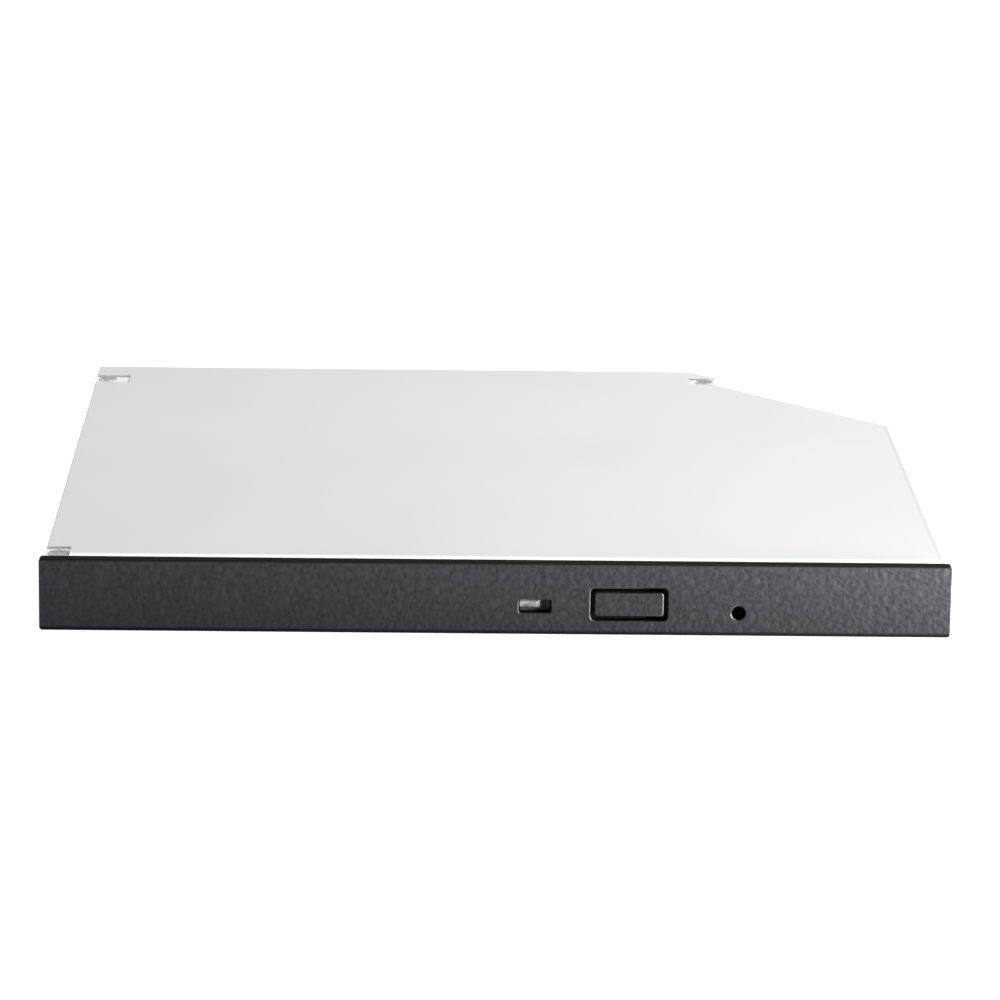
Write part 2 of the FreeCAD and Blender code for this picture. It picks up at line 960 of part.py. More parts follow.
def make_lower_case():
    case = Body("lower_case")
    case.pad([case_outline(dim.sheet)], (dim.case_lift, EAR_TOP))
    case.cut([case_outline(2 * dim.sheet)], (FLOOR, EAR_TOP))
    for low, high, tail in (
        (wide.left_stamp_start, wide.left_stamp_end, wide.left_stamp_tail),
        (wide.right_stamp_start, wide.right_stamp_end, wide.right_stamp_tail),
    ):
        front, back = behind(wide.stamp_depth), ahead_of_rear(tail)
        edge = dim.stamp_edge
        boss = RoundedOblong((low - edge, high + edge), (front - edge, back + edge), dim.stamp_corner + edge)
        case.pad([boss], (FLOOR, FLOOR + dim.stamp_sink))
        dent = RoundedOblong((low, high), (front, back), dim.stamp_corner)
        case.cut([dent], (dim.case_lift, dim.case_lift + dim.stamp_sink))
    into_wall = dim.sheet * 1.5
    for x_low, x_high, y_low, y_high in (FRONT_DIMPLE, REAR_DIMPLE):
        ear = oblong((x_low + into_wall, x_high - dim.ear_margin), (y_low, y_high))
        case.pad([ear], (EAR_LOW, EAR_TOP))
    x_low, x_high, y_low, y_high = CORNER_DIMPLE
    case.pad([oblong((x_low + dim.ear_margin, x_high - into_wall), (y_low, y_high))], (EAR_LOW, EAR_TOP))
    for x, y in STANDOFFS:
        case.pad([Disc(x, y, dim.standoff_radius)], (FLOOR, dim.link_board_low))
    for side in (-1, 1):
        x = side * wide.bracket_spacing / 2
        collar = (REAR_INNER - dim.bracket_collar_length, REAR_INNER)
        case.pad([Disc(x, BRACKET_Z, dim.bracket_collar)], collar, "XZ")
    for side in (-1, 1):
        x = side * wide.bracket_spacing / 2
        through = (REAR_INNER - dim.bracket_collar_length, REAR - dim.sheet)
        case.cut([Disc(x, BRACKET_Z, dim.bracket_hole)], through, "XZ")
    for x, y in COVER_SCREWS:
        case.cut([Disc(x, y, dim.screw_shank + dim.screw_clearance)], (EAR_LOW, EAR_TOP))
    for x, y in STANDOFFS:
        case.cut([Disc(x, y, dim.screw_shank + dim.screw_clearance)], (FLOOR, dim.link_board_low))
    plug = oblong(
        (PLUG_SPAN[0] - dim.plug_clearance, PLUG_SPAN[1] + dim.plug_clearance),
        (FLOOR, PLUG_TOP + dim.plug_clearance),
    )
    case.cut([plug], (REAR_INNER, REAR - dim.sheet), "XZ")
    node("lower_case", case)


def make_top_cover():
    cover = Body("top_cover")
    skirt_low = CASE_TOP - dim.skirt_height
    cover.pad([case_outline(0)], (skirt_low, CASE_TOP))
    cover.soften(dim.cover_bend, lambda point: abs(point.z - CASE_TOP.value) < TOLERANCE)
    cover.cut([case_outline(dim.sheet)], (skirt_low, COVER_UNDER))
    lip_left = FRONT_DIMPLE[1]
    lip_back = CASE_FRONT + dim.lip_run
    inner = WALL_INNER - dim.screw_clearance
    under = Outline(
        (CASE_FRONT, COVER_UNDER - dim.lip_drop),
        (lip_back, COVER_UNDER),
        (CASE_FRONT, COVER_UNDER),
    )
    cover.pad([under], (lip_left, inner), "YZ")
    over = Outline((CASE_FRONT, CASE_TOP - dim.lip_drop), (lip_back, CASE_TOP), (CASE_FRONT, CASE_TOP))
    cover.cut([over], (lip_left, SIDE), "YZ")
    half = dim.sheet / 2
    for x_low, x_high, y_low, y_high in (FRONT_DIMPLE, REAR_DIMPLE):
        cover.pad([oblong((x_low + half, x_high), (y_low, y_high))], (EAR_TOP, COVER_UNDER))
        dish = oblong((x_low, x_high - dim.sheet), (y_low, y_high - dim.sheet))
        cover.cut([dish], (DIMPLE_TOP, CASE_TOP))
    x_low, x_high, y_low, y_high = CORNER_DIMPLE
    cover.pad([oblong((x_low, x_high - half), (y_low, y_high))], (EAR_TOP, COVER_UNDER))
    dish = oblong((x_low + dim.sheet, x_high), (y_low + dim.sheet, y_high - dim.sheet))
    cover.cut([dish], (DIMPLE_TOP, CASE_TOP))
    for x, y in COVER_SCREWS:
        cover.cut([Disc(x, y, dim.screw_shank + dim.screw_clearance)], (EAR_TOP, DIMPLE_TOP))
    node("top_cover", cover)


def make_cover_screws():
    top = DIMPLE_TOP + dim.screw_head_thick
    items = [screw("cover_screw", x, y, top) for x, y in COVER_SCREWS]
    node("cover_screws", group("cover_screws", *items))


# Rails

RAIL_OUT = WALL_INNER
MIDDLE_OUT = RAIL_OUT - dim.rail_sheet - dim.rail_clearance
MIDDLE_LOW = dim.rail_low + dim.rail_sheet + dim.rail_clearance
MIDDLE_HIGH = dim.rail_high - dim.rail_sheet - dim.rail_clearance
TONGUE_OUT = MIDDLE_OUT - dim.rail_sheet - dim.rail_clearance
TONGUE_LOW = MIDDLE_LOW + dim.rail_sheet + dim.rail_clearance
TONGUE_HIGH = MIDDLE_HIGH - dim.rail_sheet - dim.rail_clearance


def make_channel(name, side, out, reach, heights, span):
    """A folded channel, open towards the tray, along one side."""
    low, high = heights
    web = out - dim.rail_sheet
    inner = out - reach
    points = (
        (out, low),
        (inner, low),
        (inner, low + dim.rail_sheet),
        (web, low + dim.rail_sheet),
        (web, high - dim.rail_sheet),
        (inner, high - dim.rail_sheet),
        (inner, high),
        (out, high),
    )
    rail = Body(name)
    rail.pad([Outline(*[(side * x, z) for x, z in points])], span, "XZ")
    node(name, rail)


def make_rails():
    for side, word, outer_tail, middle_tail in (
        (-1, "left", wide.left_outer_rail_tail, wide.left_middle_rail_tail),
        (1, "right", wide.right_outer_rail_tail, wide.right_middle_rail_tail),
    ):
        outer = (behind(dim.outer_rail_start), ahead_of_rear(outer_tail))
        heights = (dim.rail_low, dim.rail_high)
        make_channel(word + "_outer_rail", side, RAIL_OUT, dim.outer_rail_reach, heights, outer)
        middle = (behind(dim.middle_rail_start), ahead_of_rear(middle_tail))
        heights = (MIDDLE_LOW, MIDDLE_HIGH)
        make_channel(word + "_rail", side, MIDDLE_OUT, dim.middle_rail_reach, heights, middle)


# Tray and bezel

TRAY_REAR = ahead_of_rear(wide.tray_tail)
TRAY_INNER = SIDE - dim.body_inset - dim.tray_wall
CAVITY_INSET = dim.body_inset + dim.tray_wall
CAVITY_FRONT = TRAY_FRONT + dim.tray_front_wall
CAVITY_REAR = TRAY_REAR - dim.tray_wall
UNDER_TOP = dim.skirt_low + dim.under_cover_thick
UNDER_BOSSES = (
    (wide.left_boss_side, ahead_of_rear(wide.left_boss_tail)),
    (wide.front_boss_side, behind(wide.front_boss_depth)),
    (wide.rear_boss_side, ahead_of_rear(wide.rear_boss_tail)),
)
LEFT_DIAGONAL = (TRAY_INNER - dim.frame_side_gap) / -cosine(dim.traverse_angle)
RIGHT_DIAGONAL = (HUB_Y - CAVITY_FRONT - dim.frame_front_gap) / -cosine(dim.traverse_angle)
FRAME_REACH = (LEFT_DIAGONAL + RIGHT_DIAGONAL) / 2 - wide.frame_nose
NOSE_MIDDLE = (RIGHT_DIAGONAL - LEFT_DIAGONAL) / 2
OPENING_REACH = FRAME_REACH - wide.opening_inset
OPENING_ELBOW = OPENING_REACH - wide.opening_nose_run
OPENING_SHOULDER = OPENING_REACH - wide.opening_slope_run
MAIN_SHAFT_END = LEFT_DIAGONAL - wide.main_shaft_side - dim.main_shaft_tip
SUB_SHAFT_END = RIGHT_DIAGONAL - wide.sub_shaft_side - dim.sub_shaft_tip
LEAD_SCREW_END = RIGHT_DIAGONAL - wide.lead_screw_side - dim.lead_screw_tip
OPENING = (
    (-wide.opening_back, -wide.opening_half),
    (-wide.opening_back, wide.opening_half),
    (OPENING_SHOULDER, wide.opening_half),
    (OPENING_ELBOW, wide.opening_elbow_half),
    (OPENING_REACH, wide.opening_nose),
    (OPENING_REACH, -wide.opening_nose),
    (OPENING_ELBOW, -wide.opening_elbow_half),
    (OPENING_SHOULDER, -wide.opening_half),
)
DAMPERS = (
    (-wide.damper_back, -wide.damper_back_side),
    (-wide.damper_back, wide.damper_motor_side),
    (FRAME_REACH - wide.damper_nose_inset, NOSE_MIDDLE - wide.damper_front_side),
    (FRAME_REACH - wide.damper_nose_inset, NOSE_MIDDLE + wide.damper_front_side),
)
BUTTON_FACE = (
    (wide.button_left + dim.button_gap_side, wide.button_right - dim.button_gap_side),
    (dim.button_low + dim.button_gap_low, dim.button_high - dim.button_gap_high),
)


def make_tray():
    tray = Body("tray")
    inset = dim.body_inset
    tray.pad([tray_outline(inset, TRAY_FRONT, TRAY_REAR)], (dim.skirt_low, dim.flange_low))
    tray.pad([tray_outline(dim.flange_inset, TRAY_FRONT, TRAY_REAR)], (dim.flange_low, dim.rim_top))
    tray.cut([tray_outline(CAVITY_INSET, CAVITY_FRONT, CAVITY_REAR)], (dim.skirt_low, dim.deck_low))
    tray.cut([Disc(0, HUB_Y, wide.recess_radius)], (dim.recess_floor, dim.rim_top))
    tray.cut([Disc(0, HUB_Y, wide.small_recess_radius)], (dim.small_recess_floor, dim.recess_floor))
    tray.cut([Outline(*[swing(x, y) for x, y in OPENING])], (dim.deck_low, dim.rim_top))
    for side, tail in ((-1, wide.left_tongue_tail), (1, wide.right_tongue_tail)):
        inner = SIDE - dim.body_inset - dim.tray_wall / 2
        x_span = (side * inner, side * TONGUE_OUT)
        tray.pad([oblong(x_span, (behind(dim.tongue_start), ahead_of_rear(tail)))], (TONGUE_LOW, TONGUE_HIGH))
    for x, y in UNDER_BOSSES:
        tray.pad([Disc(x, y, dim.boss_radius)], (UNDER_TOP, dim.deck_low))
    for x, y in UNDER_BOSSES:
        tray.cut([Disc(x, y, dim.under_screw_shank + dim.screw_clearance)], (UNDER_TOP, dim.deck_low))
    for x, y in DAMPERS:
        hole = Disc(*swing(x, y), dim.screw_shank + dim.screw_clearance)
        tray.cut([hole], (dim.deck_low, dim.deck_low + dim.damper_hole_depth))
    wall = (TRAY_FRONT, CAVITY_FRONT)
    clear = dim.pocket_clearance
    flange = dim.button_flange + clear
    tray.cut(
        [
            oblong(
                (BUTTON_FACE[0][0] - flange, BUTTON_FACE[0][1] + flange),
                (dim.button_low, BUTTON_FACE[1][1] + 2 * dim.slot_clearance),
            ),
            oblong((wide.window_left, wide.window_right), (dim.window_low, dim.window_high)),
            Disc(wide.pin_hole_middle, dim.pin_hole_height, dim.pin_hole_radius + clear),
        ],
        wall,
        "XZ",
    )
    slot = oblong((wide.post_slot_low, wide.post_slot_high), (dim.skirt_low, dim.post_slot_top))
    tray.cut([slot], (CAVITY_FRONT, TRAY_REAR), "XZ")
    node("tray", tray)


def make_bezel():
    bezel = Body("bezel")
    half = dim.overall_depth / 2
    face = RoundedOblong((-half, half), (0, dim.bezel_height), dim.bezel_corner)
    bezel.pad([face], (FRONT, TRAY_FRONT), "XZ")
    bezel.soften(dim.bezel_edge, lambda point: abs(point.y - FRONT.value) < TOLERANCE)
    window_x = (wide.window_left, wide.window_right)
    button_x = (wide.button_left, wide.button_right)
    openings = [
        RoundedOblong(window_x, (dim.window_low, dim.window_high), dim.window_corner),
        RoundedOblong(button_x, (dim.button_low, dim.button_high), dim.button_corner),
        Disc(wide.pin_hole_middle, dim.pin_hole_height, dim.pin_hole_radius),
    ]
    bezel.cut(openings, (FRONT, TRAY_FRONT), "XZ")
    rib = dim.core_rib / 2
    middle = (-half + dim.core_margin - rib) / 2
    cores = (
        (-half + dim.core_margin, middle - rib),
        (middle + rib, -rib),
        (wide.pin_hole_middle + dim.core_margin, half - dim.core_margin),
    )
    sink = (TRAY_FRONT - dim.core_sink, TRAY_FRONT)
    for span in cores:
        bezel.cut([oblong(span, (dim.core_low, dim.core_high))], sink, "XZ")
    node("bezel", bezel)


def make_eject_button():
    button = Body("eject_button")
    x, z = BUTTON_FACE
    flange = dim.button_flange
    start = FRONT + dim.button_set_back
    flange_front = TRAY_FRONT + dim.button_set_back
    flange_back = flange_front + dim.button_flange_thick
    button.pad([RoundedOblong(x, z, dim.button_corner / 2)], (start, flange_back), "XZ")
    low = dim.button_low + dim.slot_clearance
    high = BUTTON_FACE[1][1]
    button.pad([oblong((x[0] - flange, x[1] + flange), (low, high))], (flange_front, flange_back), "XZ")
    middle = (x[0] + x[1]) / 2
    stem = dim.button_stem_width / 2
    height = dim.board_low + dim.board_thick + dim.switch_height / 2
    stem_z = (height - stem / 2, height + stem / 2)
    stem_y = (flange_back, behind(dim.button_stem_end))
    button.pad([oblong((middle - stem, middle + stem), stem_z)], stem_y, "XZ")
    node("eject_button", button)


def make_indicator():
    gap = dim.lens_clearance
    face_x = (wide.window_left + gap, wide.window_right - gap)
    face_z = (dim.window_low + gap, dim.window_high - gap)
    middle = (wide.window_left + wide.window_right) / 2
    half = dim.lens_guide_width / 2
    face_front = FRONT + dim.lens_set_back
    face_back = face_front + dim.lens_face_thick
    lens = Body("indicator_lens")
    lens.pad([RoundedOblong(face_x, face_z, dim.window_corner)], (face_front, face_back), "XZ")
    guide_z = (dim.window_low + 2 * gap, dim.window_high - 2 * gap)
    guide = (face_back, behind(dim.lens_guide_end))
    lens.pad([oblong((middle - half, middle + half), guide_z)], guide, "XZ")
    node("indicator_lens", lens)
    led_low = dim.board_low + dim.board_thick
    led_y = (behind(dim.led_depth), behind(dim.led_depth + dim.led_length))
    led_middle = led_low + dim.led_height / 2
    led_body = block("led_body", (middle - half, middle + half), led_y, (led_low, led_middle))
    led_dome = rod("led_dome", dim.led_height / 2, middle, led_y, led_middle)
    node("indicator_led", fuse("indicator_led", led_body, led_dome))


def make_eject_switch():
    middle = (BUTTON_FACE[0][0] + BUTTON_FACE[0][1]) / 2
    half = dim.switch_width / 2
    low = dim.board_low + dim.board_thick
    front = behind(dim.switch_depth)
    x_span = (middle - half, middle + half)
    body = block("switch_body", x_span, (front, front + dim.switch_length), (low, low + dim.switch_height))
    tip = behind(dim.switch_plunger_depth)
    plunger = rod("switch_plunger", dim.switch_plunger, middle, (tip, front), low + dim.switch_height / 2)
    node("eject_switch", fuse("eject_switch", body, plunger))


# Control board and under cover


def make_control_board():
    board = Body("control_board")
    low = dim.board_low
    high = low + dim.board_thick
    plan = Outline(
        (wide.board_left, behind(dim.board_front)),
        (wide.board_step_side, behind(dim.board_front)),
        (wide.board_step_side, behind(wide.board_step_depth)),
        (wide.board_right, behind(wide.board_step_depth)),
        (wide.board_right, ahead_of_rear(wide.board_slant_tail)),
        (wide.board_rear_right, ahead_of_rear(wide.board_tail)),
        (wide.board_rear_left, ahead_of_rear(wide.board_tail)),
        (wide.board_peak_side, behind(wide.board_peak_depth)),
    )
    board.pad([plan], (low, high))
    x, y = UNDER_BOSSES[2]
    board.cut([Disc(x, y, dim.boss_radius + dim.pocket_clearance)], (low, high))
    node("control_board", board)
    chips = []
    for x, y, size in (
        (wide.main_chip_side, ahead_of_rear(wide.main_chip_tail), wide.main_chip),
        (wide.driver_chip_side, behind(wide.driver_chip_depth), wide.driver_chip),
        (wide.memory_chip_side, ahead_of_rear(wide.memory_chip_tail), wide.memory_chip),
        (wide.servo_chip_side, behind(wide.servo_chip_depth), wide.memory_chip),
    ):
        half = size / 2
        heights = (high, high + dim.chip_height)
        chips.append(block("chip", (x - half, x + half), (y - half, y + half), heights))
    node("controller_chips", group("controller_chips", *chips))


def make_board_connectors():
    low = dim.board_low
    x = wide.flex_left + wide.flex_width / 2
    half = wide.connector_width / 2
    y = ahead_of_rear(wide.flex_board_tail)
    length = dim.connector_length / 2
    heights = (low - dim.connector_height, low)
    tray_flex = block("tray_flex_connector", (x - half, x + half), (y - length, y + length), heights)
    high = low + dim.board_thick
    front = behind(wide.pickup_connector_depth)
    pickup = block(
        "pickup_flex_connector",
        (wide.pickup_connector_left, wide.pickup_connector_right),
        (front, front + wide.pickup_connector_length),
        (high, high + dim.pickup_connector_height),
    )
    node("board_connectors", group("board_connectors", tray_flex, pickup))


def make_under_cover():
    plate = Body("under_cover")
    gap = dim.under_cover_gap
    front = CAVITY_FRONT + gap
    rear = CAVITY_REAR - gap
    inset = CAVITY_INSET + gap
    right = wide.under_cover_right
    slant = SLANT_Y + (SIDE - inset / cosine(dim.slant_angle) - right) / tangent(dim.slant_angle)
    corner = SIDE - (rear - SLANT_Y) * tangent(dim.slant_angle) - inset / cosine(dim.slant_angle)
    left = -(SIDE - inset)
    plan = Outline((left, front), (right, front), (right, slant), (corner, rear), (left, rear))
    plate.pad([plan], (dim.skirt_low, UNDER_TOP))
    for x, y in UNDER_BOSSES:
        plate.cut([Disc(x, y, dim.under_screw_shank + dim.screw_clearance)], (dim.skirt_low, UNDER_TOP))
    half = wide.connector_width / 2 + gap
    x = wide.flex_left + wide.flex_width / 2
    y = ahead_of_rear(wide.flex_board_tail)
    length = dim.connector_length / 2 + gap
    plate.cut([oblong((x - half, x + half), (y - length, y + length))], (dim.skirt_low, UNDER_TOP))
    plate.cut([Disc(0, HUB_Y, wide.spindle_window)], (dim.skirt_low, UNDER_TOP))
    node("under_cover", plate)


def make_under_cover_screws():
    items = []
    for x, y in UNDER_BOSSES:
        face = dim.skirt_low
        head = rod("under_head", dim.under_screw_head, x, y, (face - dim.under_screw_head_thick, face))
        shank = rod("under_shank", dim.under_screw_shank, x, y, (face, face + dim.under_screw_length))
        items.append(fuse("under_screw", head, shank))
    node("under_cover_screws", group("under_cover_screws", *items))


# Traverse, drawn along X from the spindle towards the front left corner


def make_traverse_frame():
    frame = Body("traverse_frame")
    half = wide.frame_half
    reach = FRAME_REACH
    left = LEFT_DIAGONAL
    right = RIGHT_DIAGONAL
    plan = Outline(
        (-wide.frame_back, -half),
        (left - half, -half),
        (reach, reach - left),
        (reach, right - reach),
        (right - half, half),
        (-wide.frame_back, half),
    )
    frame.pad([plan], (dim.frame_low, dim.frame_high))
    span = (dim.frame_low, dim.frame_high)
    left = left - dim.frame_edge
    right = right - dim.frame_edge
    inner = reach - wide.nose_bar
    window = Outline(
        (wide.window_back, -wide.arm_notch_side),
        (wide.arm_notch_back, -wide.arm_notch_side),
        (wide.arm_notch_back, -wide.window_shaft_side),
        (left - wide.window_shaft_side, -wide.window_shaft_side),
        (inner, inner - left),
        (inner, right - inner),
        (right - wide.window_screw_side, wide.window_screw_side),
        (wide.window_back, wide.window_screw_side),
    )
    frame.cut([window], span)
    frame.cut([Disc(0, 0, wide.rotor_hole)], span)
    gap = dim.slot_clearance
    main = dim.main_shaft_radius + gap
    sub = dim.sub_shaft_radius + gap
    lead = dim.lead_screw_radius + 2 * gap
    low = dim.shaft_height
    for side, radius, start, end in (
        (-wide.main_shaft_side, main, wide.main_shaft_start, MAIN_SHAFT_END),
        (wide.sub_shaft_side, sub, wide.sub_shaft_start, SUB_SHAFT_END),
        (wide.lead_screw_side, lead, wide.motor_front, LEAD_SCREW_END + 2 * gap),
    ):
        slot = oblong((start - gap, end + gap), (side - radius, side + radius))
        frame.cut([slot], (low - radius, dim.frame_high))
    motor = oblong(
        (wide.motor_back - gap, wide.motor_front + gap),
        (wide.motor_low - gap, wide.motor_high + gap),
    )
    frame.cut([motor], span)
    for x, y in DAMPERS:
        frame.cut([Disc(x, y, dim.damper_neck + gap)], span)
    node("traverse_frame", on_traverse(frame))


def make_dampers():
    bushes = []
    screws = []
    low = dim.damper_low
    for x, y in DAMPERS:
        neck = (dim.frame_low, dim.frame_high)
        solid = fuse(
            "bush_solid",
            rod("bush_foot", dim.damper_radius, x, y, (low, neck[0])),
            rod("bush_neck", dim.damper_neck, x, y, neck),
            rod("bush_collar", dim.damper_radius, x, y, (neck[1], dim.deck_low)),
        )
        bushes.append(cut("bush", solid, rod("bush_bore", dim.damper_bore, x, y, (low, dim.deck_low))))
        head_low = low - dim.under_screw_head_thick
        head = rod("damper_screw_head", dim.damper_neck, x, y, (head_low, low))
        shank = rod("damper_screw_shank", dim.screw_shank, x, y, (low, low + dim.damper_screw_length))
        screws.append(fuse("damper_screw", head, shank))
    node("damper_bushes", on_traverse(group("damper_bushes", *bushes)))
    node("damper_screws", on_traverse(group("damper_screws", *screws)))


def make_traverse_cover():
    plate = Body("traverse_cover")
    gap = dim.plate_gap
    plan = Outline(
        (-wide.opening_back + gap, -wide.opening_half + gap),
        (OPENING_SHOULDER - gap, -wide.opening_half + gap),
        (OPENING_ELBOW - gap, -wide.opening_elbow_half + gap),
        (OPENING_ELBOW - gap, wide.opening_elbow_half - gap),
        (OPENING_SHOULDER - gap, wide.opening_half - gap),
        (-wide.opening_back + gap, wide.opening_half - gap),
    )
    high = dim.plate_low + dim.plate_thick
    plate.pad([plan], (dim.plate_low, high))
    back = wide.window_back + gap
    outer = wide.opening_half - gap
    inner = outer - dim.plate_leg_thick / 2
    for side in (-1, 1):
        for x in (-wide.opening_back + gap, OPENING_SHOULDER - dim.plate_leg_inset):
            leg = oblong((x, x + dim.plate_leg_width), (side * inner, side * outer))
            plate.pad([leg], (dim.frame_high, dim.plate_low))
    plate.cut([Disc(0, 0, wide.plate_hub_hole)], (dim.plate_low, high))
    slot = oblong((back, OPENING_ELBOW), (-wide.pickup_slot_half, wide.pickup_slot_half))
    plate.cut([slot], (dim.plate_low, high))
    node("traverse_cover", on_traverse(plate))


def make_shafts():
    z = dim.shaft_height
    span = (wide.main_shaft_start, MAIN_SHAFT_END)
    main = rod("main_bar", dim.main_shaft_radius, span, -wide.main_shaft_side, z)
    node("main_shaft", on_traverse(group("main_shaft", main)))
    span = (wide.sub_shaft_start, SUB_SHAFT_END)
    sub = rod("sub_bar", dim.sub_shaft_radius, span, wide.sub_shaft_side, z)
    node("sub_shaft", on_traverse(group("sub_shaft", sub)))


def make_sled_drive():
    middle = wide.lead_screw_side
    height = dim.shaft_height
    front = wide.motor_front
    plate_back = front - dim.motor_plate
    gap = dim.slot_clearance
    y = (wide.motor_low, wide.motor_high)
    z = (dim.frame_low, dim.frame_high)
    can = block("motor_can", (wide.motor_back, plate_back), y, z)
    plate = block("motor_plate", (plate_back, front), y, z)
    bore = rod("motor_bore", dim.lead_screw_radius, (front - dim.motor_bore, front), middle, height)
    node("sled_motor", on_traverse(cut("sled_motor", fuse("motor_solid", can, plate), bore)))
    thread = rod("lead_screw_bar", dim.lead_screw_radius, (front + gap, LEAD_SCREW_END), middle, height)
    tail = rod("lead_screw_end", dim.lead_tail_radius, (front - dim.lead_tail, front + gap), middle, height)
    node("lead_screw", on_traverse(fuse("lead_screw", thread, tail)))


# Pickup


def make_pickup():
    body = Body("pickup_body")
    low, high = dim.pickup_low, dim.pickup_high
    block_x = (wide.pickup_back, wide.pickup_front)
    body.pad([oblong(block_x, (-wide.pickup_half, wide.pickup_half))], (low, high))
    side = wide.main_shaft_side
    arm = oblong((wide.arm_back, wide.arm_front), (-side - dim.arm_half, dim.arm_root - wide.pickup_half))
    body.pad([arm], (dim.frame_low, high))
    sub_x = (wide.sub_arm_back, wide.sub_arm_front)
    sub_arm = oblong(sub_x, (wide.pickup_half - dim.arm_root, wide.sub_arm_end))
    body.pad([sub_arm], (dim.frame_low, high))
    bore = dim.main_shaft_radius + dim.shaft_clearance
    body.cut([Disc(-side, dim.shaft_height, bore)], (wide.arm_back, wide.arm_front), "YZ")
    sub = dim.sub_shaft_radius + dim.shaft_clearance
    fork = oblong(
        (wide.sub_shaft_side - sub, wide.sub_arm_end),
        (dim.shaft_height - sub, dim.shaft_height + sub),
    )
    body.cut([fork], (wide.sub_arm_back, wide.sub_arm_front), "YZ")
    well = oblong((wide.well_back, wide.well_front), (-wide.well_half, wide.well_half))
    body.cut([well], (dim.well_floor, high))
    node("pickup_body", on_traverse(body))
    lid = Body("pickup_cover")
    margin = dim.pickup_cover_margin
    plan = oblong(
        (wide.pickup_back + margin, wide.pickup_front - margin),
        (-wide.pickup_half + margin, wide.rack_start - margin),
    )
    lid.pad([plan], (high, high + dim.pickup_cover_thick))
    lid.cut([well], (high, high + dim.pickup_cover_thick))
    node("pickup_cover", on_traverse(lid))


def make_actuator():
    gap = dim.actuator_gap
    x = (wide.well_back + gap, wide.well_front - gap)
    half = wide.well_half - gap
    floor = dim.well_floor
    plate = block("actuator_plate", x, (-half, half), (floor, floor + dim.actuator_plate))
    walls = [
        block(
            "actuator_magnet",
            (start, start + dim.magnet_thick),
            (-wide.magnet_half, wide.magnet_half),
            (floor + dim.actuator_plate, dim.magnet_high),
        )
        for start in (x[0], x[1] - dim.magnet_thick)
    ]
    post = block(
        "actuator_block",
        (x[0] + dim.magnet_thick, x[1] - dim.magnet_thick),
        (half - dim.actuator_block_width, half),
        (floor + dim.actuator_plate, dim.magnet_high - dim.actuator_block_drop),
    )
    node("actuator_base", on_traverse(fuse("actuator_base", plate, post, *walls)))
    middle = wide.lens_middle
    holder = block(
        "holder_block",
        (middle - wide.holder_half_x, middle + wide.holder_half_x),
        (-wide.holder_half_y, wide.holder_half_y),
        (dim.holder_low, dim.holder_high),
    )
    high = dim.holder_high
    seat = rod("holder_seat", wide.lens_radius + dim.slot_clearance, middle, 0, (high - dim.lens_rim, high))
    sight = rod("holder_sight", wide.lens_radius - dim.lens_rim, middle, 0, (dim.holder_low, high))
    node("lens_holder", on_traverse(cut("lens_holder", holder, seat, sight)))


def make_objective_lens():
    lens = Body("objective_lens")
    high = dim.holder_high
    radius = wide.lens_radius
    lens.revolve(DomedProfile(radius, radius - dim.lens_rim, (high - dim.lens_rim, high), dim.lens_crown))
    feature = lens.body
    axis = FreeCAD.Vector(0, 0, 1)
    feature.Placement = FreeCAD.Placement(FreeCAD.Vector(), FreeCAD.Rotation(axis, SIZES["traverse_angle"]))
    x, y = swing(wide.lens_middle, as_size(0))
    put(feature, x, y, 0)
    node("objective_lens", lens)


def make_rack():
    low = dim.pickup_high
    high = low + dim.rack_thick
    edge = wide.lead_screw_side - dim.lead_screw_radius - dim.rack_gap
    span = (wide.rack_back, wide.rack_front)
    leaf = block("rack_leaf", span, (wide.rack_start, edge), (low, high))
    tooth = block("rack_tooth", span, (edge - dim.rack_tooth, edge), (dim.rack_low, low))
    node("sled_rack", on_traverse(fuse("sled_rack", leaf, tooth)))


# Spindle motor and chuck


def turned(name, *points):
    """A piece turned about the spindle's axis."""
    piece = Body(name)
    piece.revolve(Outline(*points))
    put(piece.body, 0, HUB_Y, 0)
    node(name, piece)
    return piece


